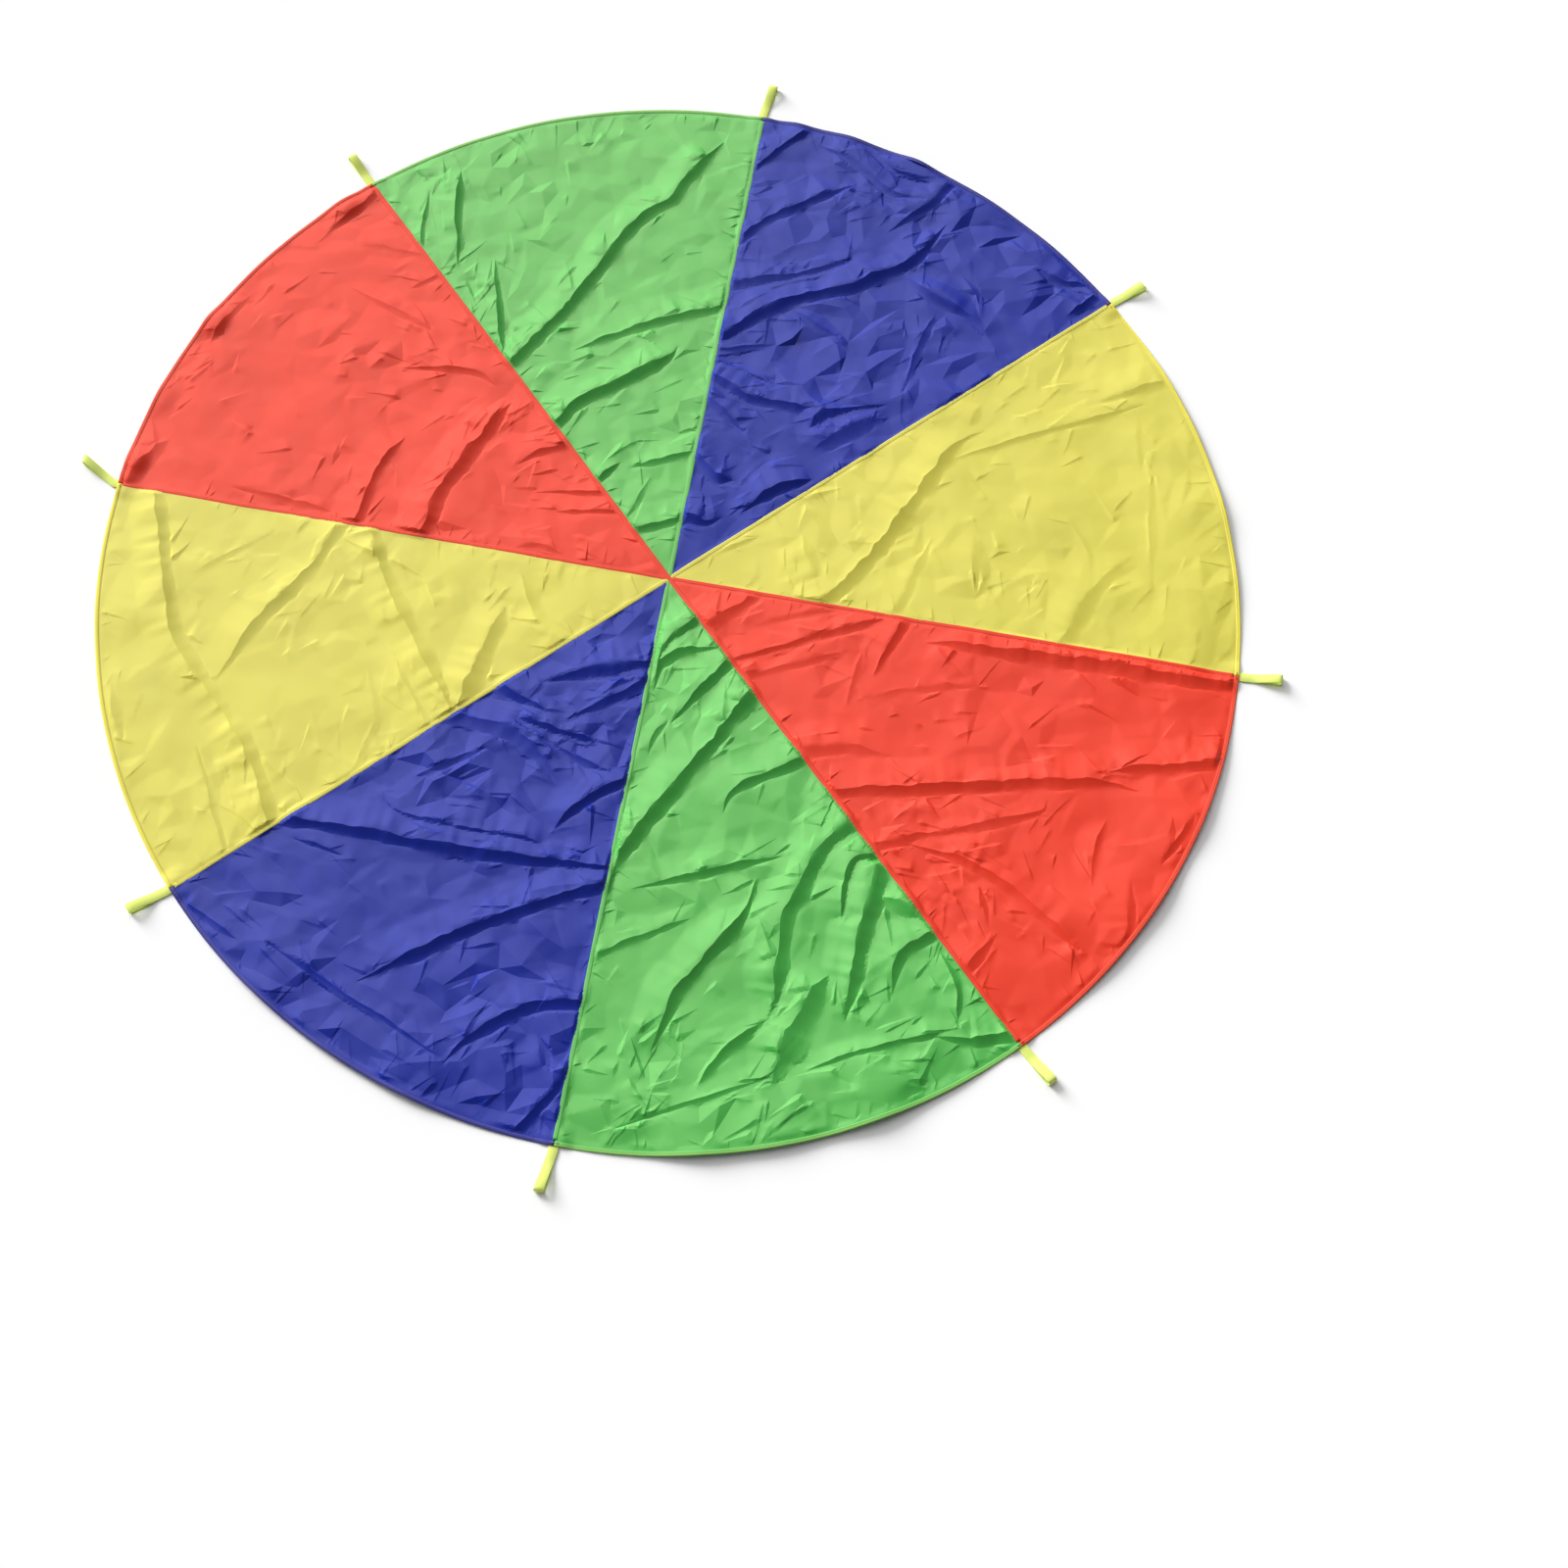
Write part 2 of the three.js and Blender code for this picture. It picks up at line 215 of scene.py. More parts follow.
FOLDS["green_2"] = [
    (19, 1.1, (265, 43.5), (515, 1.5)),
    (14, 0.8, (410, 44), (410, 26.5), (440, 22.5)),
    (24, 1.1, (550, 44), (560, 39), (615, 31), (655, 27.5), (760, 24), (800, 22)),
    (23, 1.1, (660, 42), (830, 30.5)),
    (35, 0.9, (755, 31), (900, 21)),
    (16, 0.9, (570, 25), (630, 21), (735, 12), (835, 8.5)),
    (16, 0.9, (615, 44), (610, 40.5), (685, 35)),
    (21, 0.7, (675, 41.5), (735, 44)),
    (18, 0.8, (775, 43), (775, 40), (820, 36.5)),
    (12, 0.7, (540, 32), (540, 26.5), (565, 4.5)),
    (10, 0.6, (615, 13.5), (685, 1)),
    (7, 0.8, (890, 25), (890, 31), (920, 40)),
    (18, 0.8, (915, 38.5), (950, 41), (970, 43.5)),
    (9, 1.0, (805, 44), (860, 43.5), (920, 41)),
    (14, 0.9, (195, 40.5), (270, 11.5)),
    (14, 0.8, (155, 37.5), (145, 18.5), (160, 7.5)),
    (18, 1.1, (100, 36), (125, 13), (210, 3)),
    (9, 0.6, (265, 10), (295, 5.5), (330, 4)),
    (16, 0.6, (795, 24), (815, 19.5), (850, 16), (890, 13.5)),
    (24, 0.4, (960, 28.5), (980, 35)),
    (7, 0.6, (960, 5.5), (890, 21)),
    (12, 0.8, (505, 43.5), (535, 39)),
]

# Section of a fold: its steep side eases out at the foot, so it is wider than its shade
FOLD_EASE = 1.35
FOLD_SPREAD = 1.12
FOLD_TOP = 0.0078
GENTLE_WIDTHS = 3.2
GENTLE_BOUNDS = (0.014, 0.050)
GENTLE_CURVE = 1.15

# Ends of a fold: bounds of the taper's length, share of the width that is left, and fades past the fold
TAPER_BOUNDS = (0.008, 0.09)
END_WIDTH = 0.08
END_FADE = 0.010
BAND_FADE = 0.004

# How far a fold may run on to a seam or the rim, and the share of it that tapers at an open and a sewn end
RUN_ON = 0.045
OPEN_TAPER = (0.15, 0.45)
SEWN_TAPER = 0.03

# Random wander of a fold's line and of its width, each with the spacing of its kinks
LINE_WANDER = 0.0022
LINE_SPACING = 0.038
WIDTH_WANDERS = [(0.22, 0.027), (0.16, 0.011)]

# How far small creases and facets fade out on the shaded side of a main fold
SMALL_FADE = 0.85
FACET_FADE = 0.7

# Branches of a main fold: lean, share of its width, length, slope, least steepness of the fold, tapers
BRANCH_LEAN = (0.3, 1.0)
BRANCH_WIDTH = (0.2, 0.45)
BRANCH_LEAST_WIDTH = 0.0035
BRANCH_LENGTH = (0.020, 0.075)
BRANCH_SLOPE = (0.4, 0.9)
BRANCH_STEEPNESS = 0.7
BRANCH_TAPER = (0.1, 0.9)

# Scattered small creases: where they start, their measures, and the share whose steep side faces the light
SCATTER_RIM = 0.97
SCATTER_AREA = (0.01, 1)
SCATTER_TURN = (0.06, 0.94)
SCATTER_SWERVE = 0.4
SCATTER_WIDTH = (0.0040, 0.0095)
SCATTER_LENGTH = (0.018, 0.070)
SCATTER_SLOPE = (0.3, 0.7)
SCATTER_TAPER = (0.15, 0.85)
LIT_SHARE = 0.4

# Puckers along the seams and the rim
PUCKER_SPACING = (0.2, 2.2)
PUCKER_WIDTH = (0.0030, 0.0065)
PUCKER_LENGTH = (0.4, 1)
PUCKER_SHORTNESS = 2.5
PUCKER_SLOPE = (0.3, 1)
PUCKER_TAPER = (0.05, 0.9)
PUCKER_INSET = 0.003
SEAM_PUCKER = 0.038
SEAM_SWERVE = 0.7
SEAM_SPAN = (0.05, 0.97)
RIM_PUCKER = 0.070
RIM_SWERVE = 0.6
RIM_MARGIN = 0.05
RIM_STRIDE = 1.4
RIM_SLOPE = 0.8

# How strongly each colour of cloth is creased
FOLD_SLOPE = {"red": 0.22, "yellow": 0.165, "blue": 0.36, "green": 0.42}
SMALL_SLOPE = {"red": 0.36, "yellow": 0.24, "blue": 0.36, "green": 0.42}
BRANCH_STEP = {"red": 0.08, "yellow": 0.12, "blue": 0.06, "green": 0.07}
SMALL_FOLDS = {"red": 50, "yellow": 40, "blue": 60, "green": 46}
PUCKER_STEP = {"red": 0.022, "yellow": 0.026, "blue": 0.017, "green": 0.017}
FACET_HEIGHT = {"red": 0.0038, "yellow": 0.0024, "blue": 0.0080, "green": 0.0050}
FINE_WAVE = {"red": 0.00010, "yellow": 0.00008, "blue": 0.00030, "green": 0.00016}

# Where small creases crowd: mm from the centre, degrees from the first seam, reach in mm, and count
WRINKLED_PLACES = {
    "red_1": [(600, 6, 35, 16), (710, 6, 45, 24), (820, 7, 40, 12), (130, 22, 40, 8)],
    "yellow_1": [(330, 8, 60, 12), (570, 14, 60, 12), (760, 40, 60, 10)],
    "blue_1": [(900, 30, 50, 16), (260, 28, 70, 18)],
    "green_1": [(890, 40, 35, 10), (720, 40, 40, 14), (560, 40, 40, 12), (330, 20, 60, 10)],
    "red_2": [(330, 8, 50, 14), (640, 8, 60, 14), (940, 30, 40, 10), (240, 22, 60, 14), (430, 14, 50, 12)],
    "yellow_2": [(500, 40, 50, 14), (770, 38, 60, 16), (290, 20, 60, 10), (600, 6, 60, 10)],
    "blue_2": [(340, 28, 80, 24), (900, 36, 60, 14)],
    "green_2": [(900, 8, 50, 26), (930, 20, 45, 22), (905, 33, 50, 24), (150, 25, 40, 10)],
}

# Flat facets of slack cloth: size, half count of the net's rows and columns, shake and patchy strength
FACET_LENGTH = 0.050
FACET_WIDTH = 0.022
NET_ROWS = 54
NET_COLUMNS = 24
NET_SHAKE = 0.40
PATCH_RATE = 18
PATCH_PHASES = (1, 4)
PATCH_BASE = 0.6
PATCH_GAIN = 0.2

# How high the rim stands between the handles, in millimetres, gore by gore
RIM_LIFTS = [8, 7, 6, 2, 3, 4, 7, 9]

# Short dents of the rim: degrees round the disc, height in millimetres and half width in degrees
RIM_DENTS = [
    (117, 8, 2.0), (125, 4, 2.0), (131, 5, 1.5), (184, 8, 2.2), (204, 7, 1.6), (214, 4, 2.0), (222.5, 7, 1.8),
]


def smoothstep(value, low, high):
    share = np.clip((value - low) / (high - low), 0, 1)
    return share * share * (3 - 2 * share)


def color_of(index):
    return GORES[index].split("_")[0]


def polar(radius, angle):
    return np.array([radius * math.cos(angle), radius * math.sin(angle)])


# Points of a circle of radius 1
def circle(turns):
    return np.stack([np.cos(turns), np.sin(turns)], axis=1)


# Directions in the plane of the floor, out from the centre and a quarter turn on from that
def outward_at(angle):
    return np.array([math.cos(angle), math.sin(angle), 0.0])


def sideways_at(angle):
    return np.array([-math.sin(angle), math.cos(angle), 0.0])


# Direction from the origin, by its angle round the disc and its height
def towards(azimuth, elevation):
    return Vector((
        math.cos(elevation) * math.cos(azimuth),
        math.cos(elevation) * math.sin(azimuth),
        math.sin(elevation),
    ))


# Smooth line through a few points, as points about a step apart
def smooth_line(points, step):
    fine = []
    for i in range(len(points) - 1):
        before = points[max(i - 1, 0)]
        start = points[i]
        end = points[i + 1]
        after = points[min(i + 2, len(points) - 1)]
        count = max(2, int(np.linalg.norm(end - start) / step))
        for share in np.arange(count) / count:
            pull = (end - before) * share
            bend = (2 * before - 5 * start + 4 * end - after) * share**2
            twist = (3 * start - before - 3 * end + after) * share**3
            fine.append(0.5 * (2 * start + pull + bend + twist))
    fine.append(points[-1])
    return np.array(fine)


def unit(vectors):
    return vectors / np.linalg.norm(vectors, axis=-1, keepdims=True)


# Distances of points from a gore's two seam lines and from the rim
def edge_distances(index, points):
    radius = np.hypot(points[:, 0], points[:, 1])
    turn = np.arctan2(points[:, 1], points[:, 0]) - (index + 0.5) * GORE_TURN
    turn = np.mod(turn + math.pi, 2 * math.pi) - math.pi
    first = radius * np.sin(np.clip(GORE_TURN / 2 + turn, -1.5, 1.5))
    last = radius * np.sin(np.clip(GORE_TURN / 2 - turn, -1.5, 1.5))
    return first, last, GORE_RIM - radius


# A crease: its gentle side rises to a sharp crest, and its steep side falls from there to the flat cloth
@dataclass
class Fold:
    line: np.ndarray
    along: np.ndarray
    steep: np.ndarray
    run: np.ndarray
    width: np.ndarray
    height: np.ndarray
    gentle_reach: float


# A line of straight pieces with random kinks, between -1 and 1
def kinked(run, spacing, rng):
    knots = np.arange(0, run[-1] + 2 * spacing, spacing)
    return np.interp(run, knots, rng.uniform(-1, 1, len(knots)))


def make_fold(points, width, slope, rng, ramp_in, ramp_out, lit=False):
    line = smooth_line(points, FOLD_STEP)
    along = unit(np.gradient(line, axis=0))
    steep = np.stack([along[:, 1], -along[:, 0]], axis=1)
    chord = line[-1] - line[0]
    if (np.dot([chord[1], -chord[0]], TOWARDS_LIGHT) > 0) != lit:
        steep = -steep
    run = np.concatenate([[0], np.cumsum(np.linalg.norm(np.diff(line, axis=0), axis=1))])
    length = run[-1]
    taper_in = np.clip(run / np.clip(ramp_in * length, *TAPER_BOUNDS), 0, 1)
    taper_out = np.clip((length - run) / np.clip(ramp_out * length, *TAPER_BOUNDS), 0, 1)
    line = line + steep * LINE_WANDER * kinked(run, LINE_SPACING, rng)[:, None]
    ragged = np.ones(len(run))
    for wander, spacing in WIDTH_WANDERS:
        ragged = ragged + wander * kinked(run, spacing, rng)
    widths = width * (END_WIDTH + (1 - END_WIDTH) * taper_in * taper_out) * ragged
    heights = min(slope, FOLD_TOP / width) * widths
    return Fold(line, along, steep, run, widths, heights, np.clip(GENTLE_WIDTHS * width, *GENTLE_BOUNDS))


# Height that a fold adds at points, and how far each point is inside its steep side
def fold_height(fold, points):
    height = np.zeros(len(points))
    inside = np.zeros(len(points))
    reach = fold.gentle_reach + fold.width.max()
    low = fold.line.min(axis=0) - reach
    high = fold.line.max(axis=0) + reach
    near = np.flatnonzero(np.all((points > low) & (points < high), axis=1))
    if len(near) == 0:
        return height, inside
    close = points[near]
    gaps = ((close[:, None, :] - fold.line[None, :, :]) ** 2).sum(axis=2)
    nearest = gaps.argmin(axis=1)
    offset = close - fold.line[nearest]
    across = (offset * fold.steep[nearest]).sum(axis=1)
    forward = (offset * fold.along[nearest]).sum(axis=1)
    last = len(fold.line) - 1
    past_start = np.where(nearest == 0, np.maximum(-forward, 0), 0)
    past_end = np.where(nearest == last, np.maximum(forward, 0), 0)
    run = np.clip(fold.run[nearest] + forward, 0, fold.run[-1])
    width = np.interp(run, fold.run, fold.width)
    crest = np.interp(run, fold.run, fold.height)
    fall = np.clip((width / 2 - across) / width, 0, 1) ** FOLD_EASE
    rise = np.clip(1 - (-width / 2 - across) / fold.gentle_reach, 0, 1) ** GENTLE_CURVE
    ends = 1 - smoothstep(past_start + past_end, 0, END_FADE)
    height[near] = crest * fall * rise * ends
    inside[near] = (1 - smoothstep(np.abs(across) - width / 2, 0, BAND_FADE)) * ends
    return height, inside


# Height of a gore's creases: main folds meet in sharp valleys, small ones fade out on their shaded sides
def crease_height(main_folds, small_folds, points):
    mains = [fold_height(fold, points) for fold in main_folds]
    height = np.max([main[0] for main in mains], axis=0)
    band = np.max([main[1] for main in mains], axis=0)
    for fold in small_folds:
        height += fold_height(fold, points)[0] * (1 - SMALL_FADE * band)
    return height, band


# Lines along a fold's crest and foot, so that the mesh has edges there
def fold_rows(fold):
    half = fold.width[:, None] / 2
    return [fold.line - fold.steep * half, fold.line + fold.steep * half]


# Short creases that branch off a main fold and thin out away from it
def branch_folds(fold, step, slope, rng):
    folds = []
    for _ in range(int(fold.run[-1] / step)):
        i = rng.integers(len(fold.line))
        side = rng.choice([-1, 1])
        start = fold.line[i] + side * fold.steep[i] * fold.width[i] / 2
        trend = math.atan2(fold.along[i][1], fold.along[i][0])
        leaning = rng.uniform(*BRANCH_LEAN) * rng.choice([-1, 1]) + math.pi * rng.integers(2)
        heading = polar(1, trend + leaning)
        if np.dot(heading, side * fold.steep[i]) < 0:
            heading = -heading
        width = max(BRANCH_LEAST_WIDTH, fold.width.max() * rng.uniform(*BRANCH_WIDTH))
        end = start + heading * rng.uniform(*BRANCH_LENGTH)
        steepness = slope * rng.uniform(*BRANCH_SLOPE)
        folds.append(make_fold([start, end], width, steepness, rng, *BRANCH_TAPER))
    return folds


# Small creases scattered over a gore, which run roughly along the nearest of its main folds
def scattered_folds(index, main_folds, slope, rng):
    lines = np.concatenate([fold.line for fold in main_folds])
    directions = np.concatenate([fold.along for fold in main_folds])
    starts = []
    for _ in range(SMALL_FOLDS[color_of(index)]):
        radius = SCATTER_RIM * math.sqrt(rng.uniform(*SCATTER_AREA))
        starts.append(polar(radius, (index + rng.uniform(*SCATTER_TURN)) * GORE_TURN))
    for radius, degrees, reach, count in WRINKLED_PLACES[GORES[index]]:
        middle = polar(radius / 1000, index * GORE_TURN + math.radians(degrees))
        starts += [middle + rng.normal(0, reach / 1000, 2) for _ in range(count)]
    folds = []
    lit = np.random.default_rng(20 + index).random(len(starts)) < LIT_SHARE
    for start, is_lit in zip(starts, lit):
        nearest = np.linalg.norm(lines - start, axis=1).argmin()
        trend = math.atan2(directions[nearest][1], directions[nearest][0])
        heading = polar(1, trend + rng.normal(0, SCATTER_SWERVE) + math.pi * rng.integers(2))
        end = start + heading * rng.uniform(*SCATTER_LENGTH)
        width = rng.uniform(*SCATTER_WIDTH)
        steepness = slope * rng.uniform(*SCATTER_SLOPE)
        folds.append(make_fold([start, end], width, steepness, rng, *SCATTER_TAPER, is_lit))
    return folds


# Puckers where the sewing has drawn the cloth in: short creases that start at a seam or at the hem
def pucker_folds(index, slope, rng):
    folds = []
    step = PUCKER_STEP[color_of(index)]
    for seam, inward in ((index, 1), (index + 1, -1)):
        angle = seam * GORE_TURN
        place, last_place = SEAM_SPAN
        while place < last_place:
            place += step * rng.uniform(*PUCKER_SPACING)
            start = polar(place, angle) + polar(GORE_EDGE + PUCKER_INSET, angle + inward * math.pi / 2)
            heading = polar(1, angle + inward * (math.pi / 2 + rng.normal(0, SEAM_SWERVE)))
            folds.append(pucker(start, heading, slope, rng, SEAM_PUCKER))
    turn = index * GORE_TURN + RIM_MARGIN
    while turn < (index + 1) * GORE_TURN - RIM_MARGIN:
        turn += RIM_STRIDE * step * rng.uniform(*PUCKER_SPACING)
        start = polar(GORE_RIM - PUCKER_INSET, turn)
        heading = polar(1, turn + math.pi + rng.normal(0, RIM_SWERVE))
        folds.append(pucker(start, heading, RIM_SLOPE * slope, rng, RIM_PUCKER))
    return folds


def pucker(start, heading, slope, rng, length):
    end = start + heading * length * rng.uniform(*PUCKER_LENGTH) ** PUCKER_SHORTNESS
    width = rng.uniform(*PUCKER_WIDTH)
    steepness = slope * rng.uniform(*PUCKER_SLOPE)
    return make_fold([start, end], width, steepness, rng, *PUCKER_TAPER)


# A fold that comes near a seam or the rim runs on under it, and thins out in the open cloth
def finish_end(points, index, rng):
    onward = points[-1] + RUN_ON * unit(points[-1] - points[-2])
    if np.min(edge_distances(index, onward[None, :])) > 0:
        return points, rng.uniform(*OPEN_TAPER)
    return points + [onward], SEWN_TAPER


def gore_folds(index):
    slope = FOLD_SLOPE[color_of(index)]
    small_slope = SMALL_SLOPE[color_of(index)]
    first_seam = index * GORE_TURN
    rng = np.random.default_rng(40 + index)
    main_folds = []
    folds = []
    for width, steepness, *places in FOLDS[GORES[index]]:
        points = [polar(radius / 1000, first_seam + math.radians(degrees)) for radius, degrees in places]
        points, ramp_out = finish_end(points, index, rng)
        points, ramp_in = finish_end(points[::-1], index, rng)
        spread_width = FOLD_SPREAD * width / 1000
        fold = make_fold(points[::-1], spread_width, steepness * slope, rng, ramp_in, ramp_out)
        main_folds.append(fold)
        branch_slope = small_slope * max(steepness, BRANCH_STEEPNESS)
        folds += branch_folds(fold, BRANCH_STEP[color_of(index)], branch_slope, rng)
    folds += scattered_folds(index, main_folds, small_slope, rng)
    folds += pucker_folds(index, small_slope, rng)
    return main_folds, folds


# Waves that the whole canopy shares, broad ones and fine ones
WAVE_COUNT = 14
WAVE_TURN = 6.3
WAVE_SUM = 4.5


# Heading, rate and phase of each wave
def make_waves(seed, shortest, longest):
    rng = np.random.default_rng(seed)
    rows = []
    for _ in range(WAVE_COUNT):
        heading = rng.uniform(0, WAVE_TURN)
        rate = 2 * math.pi / rng.uniform(shortest, longest)
        rows.append((heading, rate, rng.uniform(0, WAVE_TURN)))
    return rows


BROAD_WAVES = make_waves(7, 0.10, 0.30)
FINE_WAVES = make_waves(8, 0.035, 0.080)


# Sum of the waves, mostly between -1 and 1
def wave_height(waves, points):
    total = np.zeros(len(points))
    for heading, rate, phase in waves:
        total += np.sin(rate * (points @ polar(1, heading)) + phase)
    return total / WAVE_SUM


GORE_FOLDS = [gore_folds(index) for index in range(len(GORES))]

# Lifted seams: places along one, where folds are met beside it, smoothing, fades, and share of their height
SEAM_PLACES = np.arange(0, 1.004, 0.004)
SEAM_BESIDE = 0.010
SEAM_SMOOTHING = 0.45
SEAM_FADE_IN = (0.03, 0.10)
SEAM_FADE_OUT = (0.91, 0.96)
SEAM_SHARE = 0.35


# Each seam is lifted by the folds that reach it from both sides, smoothed along its length
def seam_rise(number):
    angle = number * GORE_TURN
    total = np.zeros(len(SEAM_PLACES))
    for index, inward in ((number, 1), (number - 1, -1)):
        aside = SEAM_BESIDE * polar(1, angle + inward * math.pi / 2)
        beside = SEAM_PLACES[:, None] * polar(1, angle) + aside
        total = np.maximum(total, crease_height(*GORE_FOLDS[index], beside)[0])
    kernel = np.exp(-(np.arange(-6, 7) * SEAM_SMOOTHING) ** 2)
    total = np.convolve(total, kernel / kernel.sum(), mode="same")
    fade = smoothstep(SEAM_PLACES, *SEAM_FADE_IN) * (1 - smoothstep(SEAM_PLACES, *SEAM_FADE_OUT))
    return SEAM_SHARE * total * fade


SEAM_RISES = [seam_rise(number) for number in range(len(GORES))]

# Zones of the canopy, from the centre: lifted rim, its dents, handle tails, calm waves, flat centre, slack
RIM_ZONE = (0.80, 1.0)
RIM_CURVE = 1.4
DENT_ZONE = (0.952, 0.984)
TAIL_ZONE = (0.945, 0.990)
CALM_ZONE = (0.93, 1.0)
CALM_SHARE = 0.6
CENTRE_ZONE = (0.0, 0.06)
SLACK_ZONE = (0.90, 0.98)

# Ripples of the rim: strength, rate and phase; and its rise beside a handle, in shares of a gore
RIM_RIPPLES = [(0.18, 23, 1), (0.14, 41, 0)]
RIM_RISE = (0.01, 0.35)

# Distances from a seam or the rim over which the tails' lift and the seam's lift fade, and the folds grow
TAIL_SIDE = (0.010, 0.034)
SEAM_SIDE = (0.002, 0.010)
SEAM_CALM = (0.001, 0.008)
RIM_CALM = (0.002, 0.012)


# Height of the canopy before its folds: waves, the lifted seams and rim, and the cloth over the handle tails
def ground_height(points):
    radius = np.hypot(points[:, 0], points[:, 1])
    turn = np.mod(np.arctan2(points[:, 1], points[:, 0]), 2 * math.pi)
    index = np.floor(turn / GORE_TURN).astype(int) % len(GORES)
    share = turn / GORE_TURN - np.floor(turn / GORE_TURN)
    from_handle = np.minimum(share, 1 - share)
    lift = np.array(RIM_LIFTS)[index] / 1000 * smoothstep(from_handle, *RIM_RISE)
    ripple = np.ones(len(points))
    for strength, rate, phase in RIM_RIPPLES:
        ripple += strength * np.sin(turn * rate + phase)
    rim = lift * ripple * smoothstep(radius, *RIM_ZONE) ** RIM_CURVE
    for degrees, height, half_width in RIM_DENTS:
        away = (np.degrees(turn) - degrees) / half_width
        rim += height / 1000 * np.exp(-(away**2)) * smoothstep(radius, *DENT_ZONE)
    from_seam = radius * np.abs(np.sin(from_handle * GORE_TURN))
    tails = TAIL_LIFT * (1 - smoothstep(from_seam, *TAIL_SIDE)) * smoothstep(radius, *TAIL_ZONE)
    waves = CLOTH_REST + WAVE_HEIGHT * (1 + wave_height(BROAD_WAVES, points)).clip(0, 2)
    waves *= 1 - CALM_SHARE * smoothstep(radius, *CALM_ZONE)
    centre = smoothstep(radius, *CENTRE_ZONE)
    slack = CLOTH_SLACK * (1 - smoothstep(radius, *SLACK_ZONE))
    nearest_seam = np.round(turn / GORE_TURN).astype(int) % len(GORES)
    seams = np.zeros(len(points))
    for number, rises in enumerate(SEAM_RISES):
        here = nearest_seam == number
        seams[here] = np.interp(radius[here], SEAM_PLACES, rises)
    seams *= 1 - smoothstep(from_seam, *SEAM_SIDE)
    return CLOTH_REST + (waves - CLOTH_REST) * centre + slack + rim + tails + seams


# Flat facets of slack taffeta: a net of random corners, drawn out along the gore's folds
@dataclass
class Net:
    corners: np.ndarray
    heights: np.ndarray
    edges: list
    triangles: list


def make_net(index, main_folds):
    rng = np.random.default_rng(70 + index)
    chords = [fold.line[-1] - fold.line[0] for fold in main_folds]
    doubled = sum(complex(*chord) ** 2 / abs(complex(*chord)) for chord in chords)
    trend = np.angle(doubled) / 2
    rows, columns = np.mgrid[-NET_ROWS:NET_ROWS + 1, -NET_COLUMNS:NET_COLUMNS + 1]
    spots = np.stack([columns + 0.5 * (rows % 2), rows], axis=-1).reshape(-1, 2).astype(float)
    spots += rng.uniform(-NET_SHAKE, NET_SHAKE, spots.shape)
    spots *= np.array([FACET_LENGTH, FACET_WIDTH])
    corners = spots[:, :1] * polar(1, trend) + spots[:, 1:] * polar(1, trend + math.pi / 2)
    corners = corners[np.min(edge_distances(index, corners), axis=0) > -FACET_LENGTH]
    patches = sum(np.sin(corners @ rng.uniform(-PATCH_RATE, PATCH_RATE, 2) + phase) for phase in PATCH_PHASES)
    strength = FACET_HEIGHT[color_of(index)] * (PATCH_BASE + PATCH_GAIN * patches)
    heights = strength * rng.uniform(-0.5, 0.5, len(corners))
    made = delaunay_2d_cdt([Vector(corner) for corner in corners], [], [], 0, 1e-7)
    return Net(corners, heights, made[1], made[2])


def net_height(net, points):
    height = np.zeros(len(points))
    for triangle in net.triangles:
        a, b, c = net.corners[list(triangle)]
        low = np.minimum(np.minimum(a, b), c) - 1e-6
        high = np.maximum(np.maximum(a, b), c) + 1e-6
        near = np.flatnonzero(np.all((points >= low) & (points <= high), axis=1))
        if len(near) == 0:
            continue
        shares = (points[near] - a) @ np.linalg.inv(np.stack([b - a, c - a]))
        inside = (shares.min(axis=1) > -1e-4) & (shares.sum(axis=1) < 1 + 1e-4)
        base, second, third = net.heights[list(triangle)]
        found = base + shares[inside, 0] * (second - base) + shares[inside, 1] * (third - base)
        height[near[inside]] = found
    return height


def net_rows(net):
    rows = []
    for a, b in net.edges:
        start = net.corners[a]
        end = net.corners[b]
        count = max(2, int(np.linalg.norm(end - start) / FOLD_STEP))
        rows.append(start + np.linspace(0, 1, count + 1)[:, None] * (end - start))
    return rows


def cloth_height(index, points, net):
    first, last, from_rim = edge_distances(index, points)
    from_seam = np.minimum(first, last) - GORE_EDGE
    calm = smoothstep(from_seam, *SEAM_CALM) * smoothstep(from_rim, *RIM_CALM)
    creases, band = crease_height(*GORE_FOLDS[index], points)
    facets = net_height(net, points) + FINE_WAVE[color_of(index)] * wave_height(FINE_WAVES, points)
    facets *= 1 - FACET_FADE * band
    height = ground_height(points) + calm * (creases + facets)
    height = np.maximum(height, CLOTH_REST)
    over = np.maximum(height - FREE_HEIGHT, 0)
    return np.minimum(height, FREE_HEIGHT) + TOP_ROOM * np.tanh(over / TOP_ROOM)


# Even triangular grid of points over a gore, each shaken a little
def regular_points(step, middle, rng):
    rise = step * math.sqrt(3) / 2
    rows = int(GRID_HALF / rise)
    columns = int(GRID_LENGTH / step)
    steps_up, steps_out = np.mgrid[-rows:rows + 1, 0:columns]
    out = steps_out * step + (steps_up % 2) * step / 2
    up = steps_up * rise
    grid = out[..., None] * outward_at(middle)[:2] + up[..., None] * sideways_at(middle)[:2]
    grid = grid.reshape(-1, 2)
    return grid + rng.uniform(-GRID_SHAKE, GRID_SHAKE, grid.shape) * step


